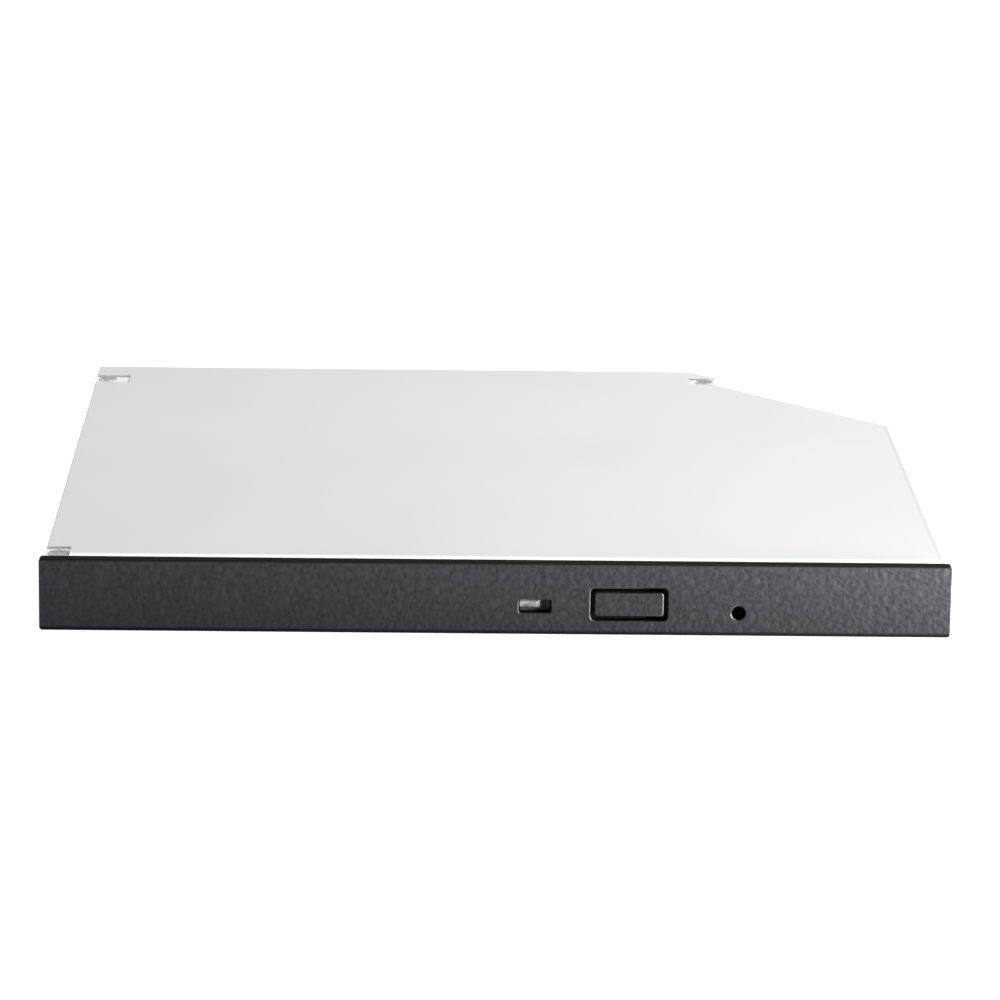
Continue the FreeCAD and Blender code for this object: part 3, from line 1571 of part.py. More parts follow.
def make_spindle():
    shaft = dim.spindle_shaft_radius
    top = dim.base_low + dim.base_thick
    base = Body("spindle_base")
    base.pad([Disc(0, 0, wide.base_radius)], (dim.base_low, top))
    base.cut([Disc(0, 0, dim.bearing_radius)], (dim.base_low, top))
    put(base.body, 0, HUB_Y, 0)
    node("spindle_base", base)
    bore = shaft + dim.shaft_clearance
    bearing = (
        (0, dim.base_low),
        (dim.bearing_radius, dim.base_low),
        (dim.bearing_radius, dim.bearing_high),
        (bore, dim.bearing_high),
        (bore, dim.base_low + dim.base_thick / 2),
        (0, dim.base_low + dim.base_thick / 2),
    )
    turned("spindle_bearing", *bearing)
    stator = Body("spindle_stator")
    stator.pad([Disc(0, 0, wide.stator_hub), Disc(0, 0, dim.stator_inner)], (dim.stator_low, dim.stator_high))
    half = dim.tooth_width / 2
    tip = wide.stator_outer - dim.tooth_tip
    tooth = Outline(
        (wide.stator_hub - dim.tooth_tip / 2, -half),
        (tip, -half),
        (tip, -dim.shoe_half),
        (wide.stator_outer, -dim.shoe_half),
        (wide.stator_outer, dim.shoe_half),
        (tip, dim.shoe_half),
        (tip, half),
        (wide.stator_hub - dim.tooth_tip / 2, half),
    )
    stator.around(stator.pad([tooth], (dim.stator_low, dim.stator_high)), dim.stator_teeth)
    put(stator.body, 0, HUB_Y, 0)
    node("spindle_stator", stator)
    wall = wide.cup_radius - dim.cup_wall
    roof = dim.cup_high - dim.cup_roof
    cup = (
        (shaft, roof),
        (wall, roof),
        (wall, dim.cup_low),
        (wide.cup_radius, dim.cup_low),
        (wide.cup_radius, dim.cup_high),
        (shaft, dim.cup_high),
    )
    turned("rotor_cup", *cup)
    high = dim.turntable_high
    step = high - dim.turntable_step
    table = (
        (shaft, dim.cup_high),
        (wide.turntable_radius - dim.turntable_bevel, dim.cup_high),
        (wide.turntable_radius, dim.cup_high + dim.turntable_bevel),
        (wide.turntable_radius, high),
        (wide.turntable_dish, high),
        (wide.turntable_dish - dim.turntable_slope, step),
        (shaft, step),
    )
    turned("turntable", *table)
    ring = (
        (wide.ring_inner, high),
        (wide.ring_outer, high),
        (wide.ring_outer, dim.ring_high - dim.ring_bevel),
        (wide.ring_outer - dim.ring_bevel, dim.ring_high),
        (wide.ring_inner, dim.ring_high),
    )
    turned("friction_ring", *ring)
    bar = rod("shaft_bar", shaft, 0, HUB_Y, (dim.base_low + dim.base_thick, dim.claw_high))
    node("spindle_shaft", group("spindle_shaft", bar))
    chuck = Body("chuck_hub")
    radius = wide.chuck_radius
    crown = dim.chuck_high
    chuck.revolve(
        Outline(
            (shaft, step),
            (radius, step),
            (radius, crown - dim.chuck_shoulder),
            (radius - dim.chuck_round_out, crown - dim.chuck_round_down),
            (radius - dim.chuck_flat, crown),
            (dim.chuck_dish, crown),
            (dim.chuck_dish_floor, crown - dim.chuck_dish_sink),
            (shaft, crown - dim.chuck_dish_sink),
        )
    )
    slot = wide.claw_width / 2 + dim.claw_gap
    window = oblong((wide.claw_root - dim.claw_pocket, radius + dim.overshoot), (-slot, slot))
    channel = chuck.cut([window], (dim.claw_low - dim.claw_gap, dim.claw_high + dim.claw_gap))
    chuck.around(channel, as_size(3))
    put(chuck.body, 0, HUB_Y, 0)
    node("chuck_hub", chuck)


def make_claws():
    for number in range(3):
        claw = Body("claw_%d" % (number + 1))
        half = wide.claw_width / 2
        middle = (dim.claw_low + dim.claw_high) / 2
        nose = Outline(
            (wide.claw_root, dim.claw_low),
            (wide.claw_reach - dim.claw_nose_low, dim.claw_low),
            (wide.claw_reach, middle),
            (wide.claw_reach - dim.claw_nose_high, dim.claw_high),
            (wide.claw_root, dim.claw_high),
        )
        claw.pad([nose], (-half, half), "XZ")
        angle = FreeCAD.Rotation(FreeCAD.Vector(0, 0, 1), 120 * number)
        claw.body.Placement = FreeCAD.Placement(FreeCAD.Vector(), angle)
        put(claw.body, 0, HUB_Y, 0)
        node(claw.name, claw)


# Latch, post and solenoid


def make_latch():
    x, y = wide.pivot_side, behind(wide.pivot_depth)
    lever = Body("latch_lever")
    span = (dim.lever_low, dim.lever_high)
    finger = oblong((wide.finger_end, x), (behind(wide.finger_front), behind(wide.finger_back)))
    lever.pad([finger], span)
    lever.pad([Disc(x, y, dim.lever_eye)], span)
    hook = Outline(
        (x, behind(wide.hook_root)),
        (wide.hook_right, behind(wide.hook_root)),
        (wide.hook_right, behind(wide.hook_back)),
        (wide.hook_tip, behind(wide.hook_back)),
        (wide.hook_tip, behind(wide.hook_front)),
        (wide.hook_left, behind(wide.hook_front)),
        (wide.hook_left, behind(wide.hook_root + dim.hook_width)),
        (x, behind(wide.hook_root + dim.hook_width)),
    )
    lever.pad([hook], span)
    lever.cut([Disc(x, y, dim.pivot_radius + dim.shaft_clearance)], span)
    node("latch_lever", lever)
    low = dim.lever_low - dim.pin_gap
    head = rod("pin_head", dim.pin_head, x, y, (low - dim.pin_head_thick, low))
    shank = rod("pin_shank", dim.pivot_radius, x, y, (low, dim.deck_low))
    node("latch_pin", fuse("latch_pin", head, shank))
    post_x, post_y = wide.post_side, behind(wide.post_depth)
    neck = rod("post_neck", dim.post_radius, post_x, post_y, (FLOOR, FLOOR + dim.post_height))
    node("lock_post", group("lock_post", neck))
    turns = dim.latch_spring_turns
    spring = coil_spring("latch_spring", dim.latch_spring_radius, turns, dim.latch_spring_height)
    put(spring, x, y, dim.lever_high + dim.spring_wire / 2 + dim.spring_gap)
    node("latch_spring", spring)


def coil_spring(name, radius, turns, height):
    """A helical spring of round wire, standing on its own origin."""
    helix = doc.addObject("Part::Helix", name + "_path")
    bind(helix, "Radius", radius)
    bind(helix, "Height", height)
    bind(helix, "Pitch", as_size(height) / turns)
    profile = doc.addObject("Part::Circle", name + "_wire")
    bind(profile, "Radius", dim.spring_wire / 2)
    profile.Placement = FreeCAD.Placement(FreeCAD.Vector(), FreeCAD.Rotation(FreeCAD.Vector(1, 0, 0), 90))
    put(profile, radius, 0, 0)
    coil = doc.addObject("Part::Sweep", name)
    coil.Sections = [profile]
    coil.Spine = (helix, ["Edge1"])
    coil.Solid = True
    coil.Frenet = True
    return coil


def make_solenoid():
    x = wide.solenoid_side
    half = dim.solenoid_width / 2
    front, back = behind(wide.solenoid_front), behind(wide.solenoid_back)
    low, high = dim.solenoid_low, dim.solenoid_high
    wall = dim.yoke_sheet
    z = (low + high) / 2
    frame = block("yoke_frame", (x - half, x + half), (front, back), (low, high))
    inside = (x - half + wall, x + half - wall)
    hollow = block("yoke_hollow", inside, (front + wall, back - wall), (low, high))
    bore = rod("yoke_bore", dim.plunger_bore, x, (front, front + wall), z)
    node("solenoid_yoke", cut("solenoid_yoke", frame, hollow, bore))
    gap = dim.coil_gap
    coil = block(
        "coil_body",
        (x - half + wall + gap, x + half - wall - gap),
        (front + wall + gap, back - wall),
        (low + gap, high - gap),
    )
    bore_end = behind(wide.plunger_back + dim.plunger_clearance)
    core = rod("coil_bore", dim.plunger_bore, x, (front + wall, bore_end), z)
    node("solenoid_coil", cut("solenoid_coil", coil, core))
    ends = (behind(wide.plunger_front), behind(wide.plunger_back))
    bar = rod("plunger_bar", dim.plunger_radius, x, ends, z)
    node("solenoid_plunger", group("solenoid_plunger", bar))


# Ejector at the rear of the case


def make_ejector():
    x = wide.ejector_side
    half = dim.ejector_width / 2
    front, back = ahead_of_rear(wide.ejector_front_tail), ahead_of_rear(wide.ejector_back_tail)
    low, high = FLOOR, FLOOR + dim.ejector_height
    z = (low + high) / 2
    body = block("ejector_body", (x - half, x + half), (front, back), (low, high))
    bore = rod("ejector_bore", dim.ejector_bore, x, (front + dim.ejector_wall, back - dim.ejector_wall), z)
    guide = rod("ejector_guide", dim.rod_guide, x, (front, front + dim.ejector_wall), z)
    node("ejector_housing", cut("ejector_housing", body, bore, guide))
    collar_back = ahead_of_rear(wide.rod_back_tail)
    collar_front = collar_back - dim.rod_collar_thick
    bar = rod("ejector_bar", dim.rod_radius, x, (ahead_of_rear(wide.rod_front_tail), collar_back), z)
    collar = rod("ejector_collar", dim.rod_collar, x, (collar_front, collar_back), z)
    node("ejector_rod", fuse("ejector_rod", bar, collar))
    end_gap = dim.spring_wire / 2 + dim.spring_gap
    start = collar_back + end_gap
    length = back - dim.ejector_wall - start - end_gap
    spring = coil_spring("ejector_spring", dim.ejector_spring_radius, dim.ejector_spring_turns, length)
    spring.Placement = FreeCAD.Placement(FreeCAD.Vector(), TURNS["y"])
    put(spring, x, start, z)
    node("ejector_spring", spring)


# Interface board and its plug


def make_interface_board():
    board = Body("interface_board")
    low, high = dim.link_board_low, dim.link_board_low + dim.link_board_thick
    plan = oblong(
        (dim.link_board_inset - SIDE, wide.link_board_right),
        (ahead_of_rear(wide.link_board_tail), REAR_INNER - dim.plug_clearance),
    )
    board.pad([plan], (low, high))
    for x, y in STANDOFFS:
        board.cut([Disc(x, y, dim.screw_shank + dim.screw_clearance)], (low, high))
    housing = dim.plug_clearance
    bay = oblong(
        (PLUG_SPAN[0] - housing, PLUG_SPAN[1] + housing),
        (ahead_of_rear(wide.plug_tail) - housing, REAR_INNER - dim.plug_clearance),
    )
    board.cut([bay], (low, high))
    node("interface_board", board)
    items = []
    for x, y in STANDOFFS:
        head = rod("link_head", dim.link_screw_head, x, y, (high, high + dim.link_screw_head_thick))
        shank = rod("link_shank", dim.screw_shank, x, y, (FLOOR + dim.link_screw_gap, high))
        items.append(fuse("link_screw", head, shank))
    node("board_screws", group("board_screws", *items))


def make_plug():
    plug = Body("sata_connector")
    low = FLOOR + dim.slot_clearance
    mouth = REAR - dim.sheet
    front = ahead_of_rear(wide.plug_tail)
    plug.pad([oblong(PLUG_SPAN, (low, PLUG_TOP))], (front, mouth), "XZ")
    wall = dim.plug_wall
    socket = (mouth - dim.plug_socket_depth, mouth)
    inside = (PLUG_SPAN[0] + wall, PLUG_SPAN[1] - wall)
    heights = (low + dim.plug_lip, PLUG_TOP - dim.plug_lip)
    plug.cut([oblong(inside, heights)], socket, "XZ")
    middle = (low + PLUG_TOP) / 2
    blade = (middle - dim.blade_thick / 2, middle + dim.blade_thick / 2)
    margin = dim.blade_margin
    signal = (inside[0] + margin, inside[0] + margin + dim.signal_blade)
    power = (inside[1] - margin - dim.power_blade, inside[1] - margin)
    root = socket[0] - dim.blade_root
    tip = mouth - dim.blade_set_back
    plug.pad([oblong(signal, blade), oblong(power, blade)], (root, tip), "XZ")
    wing = (front - dim.plug_wing, front)
    plug.pad([oblong(PLUG_SPAN, (dim.link_board_low + dim.link_board_thick, PLUG_TOP))], wing, "XZ")
    node("sata_connector", plug)
    items = []
    half = dim.contact_width / 2
    rows = (
        (signal, SIZES["signal_contacts"], dim.contact_pitch),
        (power, SIZES["power_contacts"], dim.contact_pitch_power),
    )
    for span, count, pitch in rows:
        centre = (span[0] + span[1]) / 2
        for number in range(int(count)):
            x = centre + pitch * (number - (count - 1) / 2)
            end = tip - dim.contact_set_back
            y = (end - dim.contact_length, end)
            items.append(block("contact", (x - half, x + half), y, (blade[1], blade[1] + dim.contact_thick)))
    node("sata_contacts", group("sata_contacts", *items))


# Flat cables


def make_flexes():
    low, high = FLOOR, FLOOR + dim.flex_thick
    flex = Body("floor_flex")
    left = wide.flex_fixed_left
    width = wide.flex_width
    right = wide.flex_left
    turn = behind(wide.flex_turn_depth)
    flex.pad(
        [
            Outline(
                (left, turn - width),
                (right + width, turn - width),
                (right + width, turn),
                (left + width, turn),
                (left + width, ahead_of_rear(wide.link_board_tail) - dim.flex_inset),
                (left, ahead_of_rear(wide.link_board_tail) - dim.flex_inset),
            )
        ],
        (low, high),
    )
    node("floor_flex", flex)
    roll = Body("rolling_flex")
    fold = ahead_of_rear(wide.flex_fold_tail)
    thick = dim.flex_thick
    gap = dim.flex_gap
    end = ahead_of_rear(wide.flex_board_tail)
    upper = high + gap
    profile = Outline(
        (turn, low),
        (fold, low),
        (fold + thick, low + thick),
        (fold + thick, upper),
        (fold, upper + thick),
        (end, upper + thick),
        (end, upper),
        (fold, upper),
        (fold, high),
        (turn, high),
    )
    roll.pad([profile], (right, right + width), "YZ")
    node("rolling_flex", roll)


def make_pickup_flex():
    flex = Body("pickup_flex")
    thick = dim.flex_thick / 2
    low = dim.pickup_flex_low
    back = wide.pickup_flex_back
    front = wide.pickup_flex_front
    fold = wide.pickup_flex_fold
    start = wide.pickup_back + dim.flex_inset
    profile = Outline(
        (back, low),
        (fold, low),
        (fold + thick, low + thick),
        (fold + thick, low + 2 * thick),
        (fold, low + 3 * thick + dim.flex_ply_gap),
        (start, low + 3 * thick + dim.flex_ply_gap),
        (start, low + 2 * thick + dim.flex_ply_gap),
        (fold, low + 2 * thick + dim.flex_ply_gap),
        (fold, low + thick),
        (back, low + thick),
    )
    half = wide.pickup_flex_width / 2
    flex.pad([profile], (-half, half), "XZ")
    node("pickup_flex", on_traverse(flex))


make_lower_case()
make_top_cover()
make_cover_screws()
make_rails()
make_tray()
make_bezel()
make_eject_button()
make_indicator()
make_eject_switch()
make_control_board()
make_board_connectors()
make_under_cover()
make_under_cover_screws()
make_traverse_frame()
make_dampers()
make_traverse_cover()
make_shafts()
make_sled_drive()
make_pickup()
make_actuator()
make_objective_lens()
make_rack()
make_spindle()
make_claws()
make_latch()
make_solenoid()
make_ejector()
make_interface_board()
make_plug()
make_flexes()
make_pickup_flex()

# Checks and files

doc.recompute()
for item in doc.Objects:
    if "Invalid" in item.State or "Error" in item.State:
        raise RuntimeError("%s failed: %s" % (item.Name, item.State))
for feature in NODES:
    if feature.Shape.isNull() or not feature.Shape.isValid():
        raise RuntimeError("%s has no valid shape" % feature.Label)
os.makedirs("parts", exist_ok=True)
for feature in NODES:
    feature.Shape.exportStep(os.path.join("parts", feature.Label + ".step"))
    print(feature.Label, len(feature.Shape.Solids), round(feature.Shape.Volume, 2))
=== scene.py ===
import json
import math

import bmesh
import bpy
from mathutils import Matrix, Vector


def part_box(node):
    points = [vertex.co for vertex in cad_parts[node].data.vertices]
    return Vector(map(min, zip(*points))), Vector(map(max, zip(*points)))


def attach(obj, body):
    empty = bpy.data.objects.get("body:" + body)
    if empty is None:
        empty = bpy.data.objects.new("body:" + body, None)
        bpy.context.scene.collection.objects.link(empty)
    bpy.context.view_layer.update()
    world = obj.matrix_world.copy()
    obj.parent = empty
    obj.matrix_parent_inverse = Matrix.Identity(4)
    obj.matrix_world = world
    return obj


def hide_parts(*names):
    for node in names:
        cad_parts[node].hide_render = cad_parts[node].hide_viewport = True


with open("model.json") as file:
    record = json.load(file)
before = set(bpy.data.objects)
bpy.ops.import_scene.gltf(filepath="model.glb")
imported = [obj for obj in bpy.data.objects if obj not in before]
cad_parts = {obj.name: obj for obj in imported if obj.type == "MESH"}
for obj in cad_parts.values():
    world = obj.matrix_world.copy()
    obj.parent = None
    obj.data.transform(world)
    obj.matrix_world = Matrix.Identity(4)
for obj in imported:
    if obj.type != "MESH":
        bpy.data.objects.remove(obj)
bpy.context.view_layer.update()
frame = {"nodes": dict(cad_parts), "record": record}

nodes = frame["nodes"]

# The scene is in metres; the pieces made here are given in millimetres
MM = 0.001

# The colour sockets of a mix node, a noise's usual range, and how patterns are stretched one way
MIX_FIRST = 6
MIX_SECOND = 7
MIX_RESULT = 2
NOISE_RANGE = (0.3, 0.7)
ROLLED_LONG = (1, 0.04, 1)
ROLLED_VERY_LONG = (1, 0.02, 1)
TRACKS_ACROSS = (1, 0.08, 1)
TRACKS_ALONG = (0.08, 1, 1)


# Node helpers: each adds one layer to a material and gives back its output

def new_material(name):
    material = bpy.data.materials.new(name)
    material.use_nodes = True
    return material


def add(material, kind, settings=None, inputs=None):
    """One shader node, with its settings, and inputs that are numbers or other nodes' outputs."""
    tree = material.node_tree
    node = tree.nodes.new(kind)
    for key, value in (settings or {}).items():
        setattr(node, key, value)
    for key, value in (inputs or {}).items():
        if isinstance(value, bpy.types.NodeSocket):
            tree.links.new(value, node.inputs[key])
        else:
            node.inputs[key].default_value = value
    return node


def place(material, stretch=(1, 1, 1), turn=0.0):
    """The piece's own coordinates in metres, stretched where a pattern runs one way, or turned."""
    spot = add(material, "ShaderNodeTexCoord")
    mapping = add(
        material,
        "ShaderNodeMapping",
        None,
        {"Vector": spot.outputs["Object"], "Rotation": (0, 0, math.radians(turn)), "Scale": stretch},
    )
    return mapping.outputs["Vector"]


def axes_of(material):
    """The piece's own X, Y and Z in metres."""
    spot = add(material, "ShaderNodeTexCoord")
    parts = add(material, "ShaderNodeSeparateXYZ", None, {"Vector": spot.outputs["Object"]})
    return parts.outputs["X"], parts.outputs["Y"], parts.outputs["Z"]


def noise(material, size, detail=3.0, rough=0.5, stretch=(1, 1, 1)):
    """Cloudy variation, its patches about a size in metres across."""
    made = add(
        material,
        "ShaderNodeTexNoise",
        None,
        {"Vector": place(material, stretch), "Scale": 1 / size, "Detail": detail, "Roughness": rough},
    )
    return made.outputs["Fac"]


def cells(material, size, feature="F1"):
    """Distance to the middle, or the edge, of cells about a size in metres across."""
    made = add(
        material,
        "ShaderNodeTexVoronoi",
        {"feature": feature},
        {"Vector": place(material), "Scale": 1 / size},
    )
    return made.outputs["Distance"]


def bands(material, direction, spot, scale, distortion=0.0, detail=2.0):
    """Even bands across one direction."""
    made = add(
        material,
        "ShaderNodeTexWave",
        {"wave_type": "BANDS", "bands_direction": direction},
        {"Vector": spot, "Scale": scale, "Distortion": distortion, "Detail": detail},
    )
    return made.outputs["Fac"]


def spread(material, value, low, high, to_low, to_high):
    """A value's range carried over to another range."""
    made = add(
        material,
        "ShaderNodeMapRange",
        None,
        {"Value": value, "From Min": low, "From Max": high, "To Min": to_low, "To Max": to_high},
    )
    return made.outputs["Result"]


def ramp(material, value, low, high):
    """0 up to low, and 1 from high on."""
    return spread(material, value, low, high, 0.0, 1.0)


def fall(material, value, low, high):
    """1 up to low, and 0 from high on."""
    return spread(material, value, low, high, 1.0, 0.0)


def varied(material, value, to_low, to_high):
    """A noise's usual range carried over to another range."""
    return spread(material, value, *NOISE_RANGE, to_low, to_high)


def blend_colour(material, factor, first, second):
    mixed = add(material, "ShaderNodeMix", {"data_type": "RGBA"})
    tree = material.node_tree
    tree.links.new(factor, mixed.inputs["Factor"])
    for socket, colour in ((mixed.inputs[MIX_FIRST], first), (mixed.inputs[MIX_SECOND], second)):
        if isinstance(colour, bpy.types.NodeSocket):
            tree.links.new(colour, socket)
        else:
            socket.default_value = (*colour, 1)
    return mixed.outputs[MIX_RESULT]


def sum_of(material, first, second, share=1.0):
    """The first value plus a share of the second."""
    made = add(
        material,
        "ShaderNodeMath",
        {"operation": "MULTIPLY_ADD"},
        {0: second, 1: share, 2: first},
    )
    return made.outputs[0]


def product(material, first, second):
    return add(material, "ShaderNodeMath", {"operation": "MULTIPLY"}, {0: first, 1: second}).outputs[0]


def rest_of(material, value):
    """What a value between 0 and 1 leaves of 1."""
    return add(material, "ShaderNodeMath", {"operation": "SUBTRACT"}, {0: 1.0, 1: value}).outputs[0]


def relief(material, height, depth, strength=1.0):
    made = add(
        material, "ShaderNodeBump", None, {"Height": height, "Distance": depth, "Strength": strength}
    )
    return made.outputs["Normal"]


def finish_with(material, **inputs):
    """Sets the shader's sockets, named as in Blender with _ for a space: numbers, colours or outputs."""
    tree = material.node_tree
    shader = tree.nodes["Principled BSDF"]
    for key, value in inputs.items():
        socket = shader.inputs[key.replace("_", " ")]
        if isinstance(value, bpy.types.NodeSocket):
            tree.links.new(value, socket)
        elif isinstance(value, tuple):
            socket.default_value = (*value, 1)
        else:
            socket.default_value = value
    return material


def scaled(colour, share):
    return tuple(share * value for value in colour)


# The cover's paint: where its lip, its left bend, its sunk dimples and its right edge start and end, in
# metres from the cover's own box, and the tone of each: painted highlights on the lip, the left bend and
# the dimples, painted shade on the right edge

PAINT_TONES = ((0.425, 0.425, 0.427), (0.436, 0.436, 0.438))
LIP_FADE = (0.0022, 0.0032)
LIP_HIGHLIGHT = (0.70, 0.70, 0.70)
BEND_FADE = (0.0002, 0.0005)
BEND_HIGHLIGHT = (0.50, 0.50, 0.50)
SUNK_FROM = (0.00025, 0.0001)
SUNK_TO = (0.0008, 0.0006)
SUNK_SHARE = 0.9
SUNK_HIGHLIGHT = (0.56, 0.56, 0.56)
EDGE_FADE = (0.0010, 0.0005)
EDGE_SHADE = (0.38, 0.38, 0.38)


def painted_sheet():
    """The cover: pale satin coat on sheet steel, very fine orange peel, faint clouds and rolling lines."""
    made = new_material("cover_paint")
    clouds = noise(made, size=0.03, detail=4.0)
    rolled = noise(made, size=0.0006, detail=2.0, stretch=ROLLED_VERY_LONG)
    peel = noise(made, size=0.0004, detail=2.0)
    tint = ramp(made, sum_of(made, clouds, rolled, share=0.25), low=0.4, high=0.85)
    colour = blend_colour(made, tint, *PAINT_TONES)
    across, inward, up = axes_of(made)
    (left, front, _), (right, _, top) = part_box("top_cover")
    # Painted highlight: the front lip, where the cover bends down behind the bezel, is painted lighter
    lip_highlight = fall(made, inward, *(front + reach for reach in LIP_FADE))
    colour = blend_colour(made, lip_highlight, colour, LIP_HIGHLIGHT)
    # Painted highlight: the left bend is painted lighter, as the lamp on the left would light it
    bend_highlight = fall(made, across, *(left + reach for reach in BEND_FADE))
    colour = blend_colour(made, bend_highlight, colour, BEND_HIGHLIGHT)
    # Painted highlight: the surfaces sunk just below the cover's top, the dimples among them, are painted
    # lighter
    below = spread(made, up, *(top - reach for reach in SUNK_FROM), SUNK_SHARE, 0.0)
    above = ramp(made, up, *(top - reach for reach in SUNK_TO))
    colour = blend_colour(made, product(made, below, above), colour, SUNK_HIGHLIGHT)
    # Painted shade: the right edge is painted darker
    edge = ramp(made, across, *(right - reach for reach in EDGE_FADE))
    colour = blend_colour(made, edge, colour, EDGE_SHADE)
    return finish_with(
        made,
        Base_Color=colour,
        Roughness=varied(made, clouds, 0.46, 0.54),
        Specular_IOR_Level=0.2,
        Normal=relief(made, peel, depth=0.000004),
    )


def zinc_sheet(name, dark, light, grain=0.0012):
    """Zinc-coated sheet: very faint crystal grain, fine rolling lines and a broad, slight stain."""
    made = new_material(name)
    crystals = cells(made, grain)
    rolled = noise(made, size=0.00035, rough=0.6, stretch=ROLLED_LONG)
    stain = noise(made, size=0.015)
    tint = sum_of(made, sum_of(made, rolled, crystals, share=0.2), stain, share=0.5)
    return finish_with(
        made,
        Base_Color=blend_colour(made, ramp(made, tint, low=0.5, high=1.2), dark, light),
        Roughness=varied(made, rolled, 0.36, 0.46),
        Metallic=0.75,
        Normal=relief(made, rolled, depth=0.000005),
    )


# The bezel's rims: the smooth band along its top and bottom edge, darker by a painted dark reflection, and
# the walls of its openings, painted nearly black as shade

RIM_TURN = 0.00025
RIM_LOW = 0.00065
RIM_HIGH = 0.00036
WALL_FADE = (0.0002, 0.0005)
WALL_SHADE = (0.0006, 0.0006, 0.0006)
LOW_SHADE = 0.45
LOW_SHARE = 0.2
RIM_DARK_REFLECTION = 0.5
RIM_METAL = 0.5


def grained_plastic(name, dark, light, grain, depth, gloss=0.3):
    """Leather-grained plastic: irregular pebbles parted by creases."""
    made = new_material(name)
    height, colour, roughness = leather(made, dark, light, grain)
    return finish_with(
        made,
        Base_Color=colour,
        Roughness=roughness,
        Normal=relief(made, height, depth),
        Specular_IOR_Level=gloss,
    )


def leather(made, dark, light, grain):
    """The height, colour and roughness of a leather grain."""
    pebbles = cells(made, grain, "SMOOTH_F1")
    creases = cells(made, grain * 2.3, "DISTANCE_TO_EDGE")
    fine = noise(made, size=grain * 0.6, rough=0.6)
    broad = noise(made, size=grain * 4.0, detail=2.0, rough=0.6)
    height = sum_of(made, sum_of(made, pebbles, fine, share=0.8), creases, share=1.2)
    tint = ramp(made, sum_of(made, height, broad, share=0.7), low=0.7, high=1.7)
    return height, blend_colour(made, tint, dark, light), varied(made, fine, 0.44, 0.58)


def rimmed_plastic(name, dark, light, grain, depth, gloss):
    """The bezel's grained plastic. Painted shade darkens it a little downwards, its rims at the top and
    bottom are smooth and glossier and darker by a painted dark reflection, and the walls of its openings
    are painted nearly black as shade."""
    made = new_material(name)
    height, colour, roughness = leather(made, dark, light, grain)
    (_, front, bottom), (_, _, top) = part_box("bezel")
    low, high = bottom + RIM_LOW, top - RIM_HIGH
    _, inward, up = axes_of(made)
    # Painted shade: the bezel is painted darker towards the bottom
    shade_below = spread(made, up, low, high, LOW_SHADE, 0.0)
    colour = blend_colour(made, shade_below, colour, scaled(dark, LOW_SHARE))
    # Painted shade: everything deeper than the front face, the walls of the openings, is painted nearly
    # black
    wall_shade = ramp(made, inward, *(front + reach for reach in WALL_FADE))
    colour = blend_colour(made, wall_shade, colour, WALL_SHADE)
    # The top and bottom rims are smooth and glossier; their darker colour is a painted dark reflection
    over_low = ramp(made, up, low - RIM_TURN, low)
    under_high = fall(made, up, high, high + RIM_TURN)
    grained = product(made, over_low, under_high)
    smooth = rest_of(made, grained)
    return finish_with(
        made,
        Base_Color=blend_colour(made, grained, scaled(dark, RIM_DARK_REFLECTION), colour),
        Roughness=sum_of(made, roughness, smooth, share=0.5),
        Normal=relief(made, height, depth, grained),
        Specular_IOR_Level=gloss,
        Metallic=spread(made, smooth, 0.0, 1.0, 0.0, RIM_METAL),
    )


def smooth_plastic(name, dark, light, rough=0.4, grain=0.0004):
    """Moulded plastic with a faint flow pattern and a very fine skin."""
    made = new_material(name)
    flow = noise(made, size=0.006, detail=4.0, rough=0.6)
    skin = noise(made, size=grain, detail=2.0)
    return finish_with(
        made,
        Base_Color=blend_colour(made, varied(made, flow, 0.0, 1.0), dark, light),
        Roughness=varied(made, skin, rough - 0.05, rough + 0.07),
        Normal=relief(made, skin, depth=0.000006),
    )


def turned_steel(name, dark, light, rough=0.25):
    """Machined or drawn metal with fine marks and a faint stain."""
    made = new_material(name)
    marks = noise(made, size=0.0002, detail=2.0, rough=0.6)
    stain = noise(made, size=0.003)
    return finish_with(
        made,
        Base_Color=blend_colour(made, varied(made, stain, 0.0, 1.0), dark, light),
        Roughness=varied(made, marks, rough - 0.06, rough + 0.1),
        Metallic=1.0,
        Normal=relief(made, marks, depth=0.000004),
    )


BOARD_TONES = ((0.008, 0.075, 0.03), (0.02, 0.16, 0.065))
BOARD_PLAIN = (0.016, 0.13, 0.055)


def circuit_laminate():
    """Green board: solder mask over copper tracks, which run in two directions, and plain areas."""
    made = new_material("board_laminate")
    across = noise(made, size=0.0009, detail=1.0, rough=0.3, stretch=TRACKS_ACROSS)
    along = noise(made, size=0.0009, detail=1.0, rough=0.3, stretch=TRACKS_ALONG)
    patch = noise(made, size=0.012, detail=0.0)
    tracks = ramp(made, sum_of(made, across, along, share=0.6), low=0.78, high=0.84)
    coloured = blend_colour(made, tracks, *BOARD_TONES)
    plain = ramp(made, patch, low=0.55, high=0.6)
    return finish_with(
        made,
        Base_Color=blend_colour(made, plain, coloured, BOARD_PLAIN),
        Roughness=0.33,
        Normal=relief(made, tracks, depth=0.00003),
    )


TRACK_SCALE = 520.0
FILM_COPPER = (0.42, 0.17, 0.06)
FILM_PALE = (0.60, 0.52, 0.40)


def flex_film(name, turn=0.0):
    """Pale film over fine copper tracks, which run along the cable, turned from the Y axis."""
    made = new_material(name)
    tracks = bands(made, "X", place(made, turn=turn), TRACK_SCALE)
    haze = noise(made, size=0.002)
    film = ramp(made, sum_of(made, tracks, haze, share=0.3), low=0.45, high=0.75)
    return finish_with(
        made,
        Base_Color=blend_colour(made, film, FILM_COPPER, FILM_PALE),
        Roughness=varied(made, haze, 0.24, 0.36),
        Normal=relief(made, film, depth=0.00001),
    )


WIRE_SCALE = 1500.0
WIRE_TONES = ((0.30, 0.08, 0.02), (0.75, 0.30, 0.10))


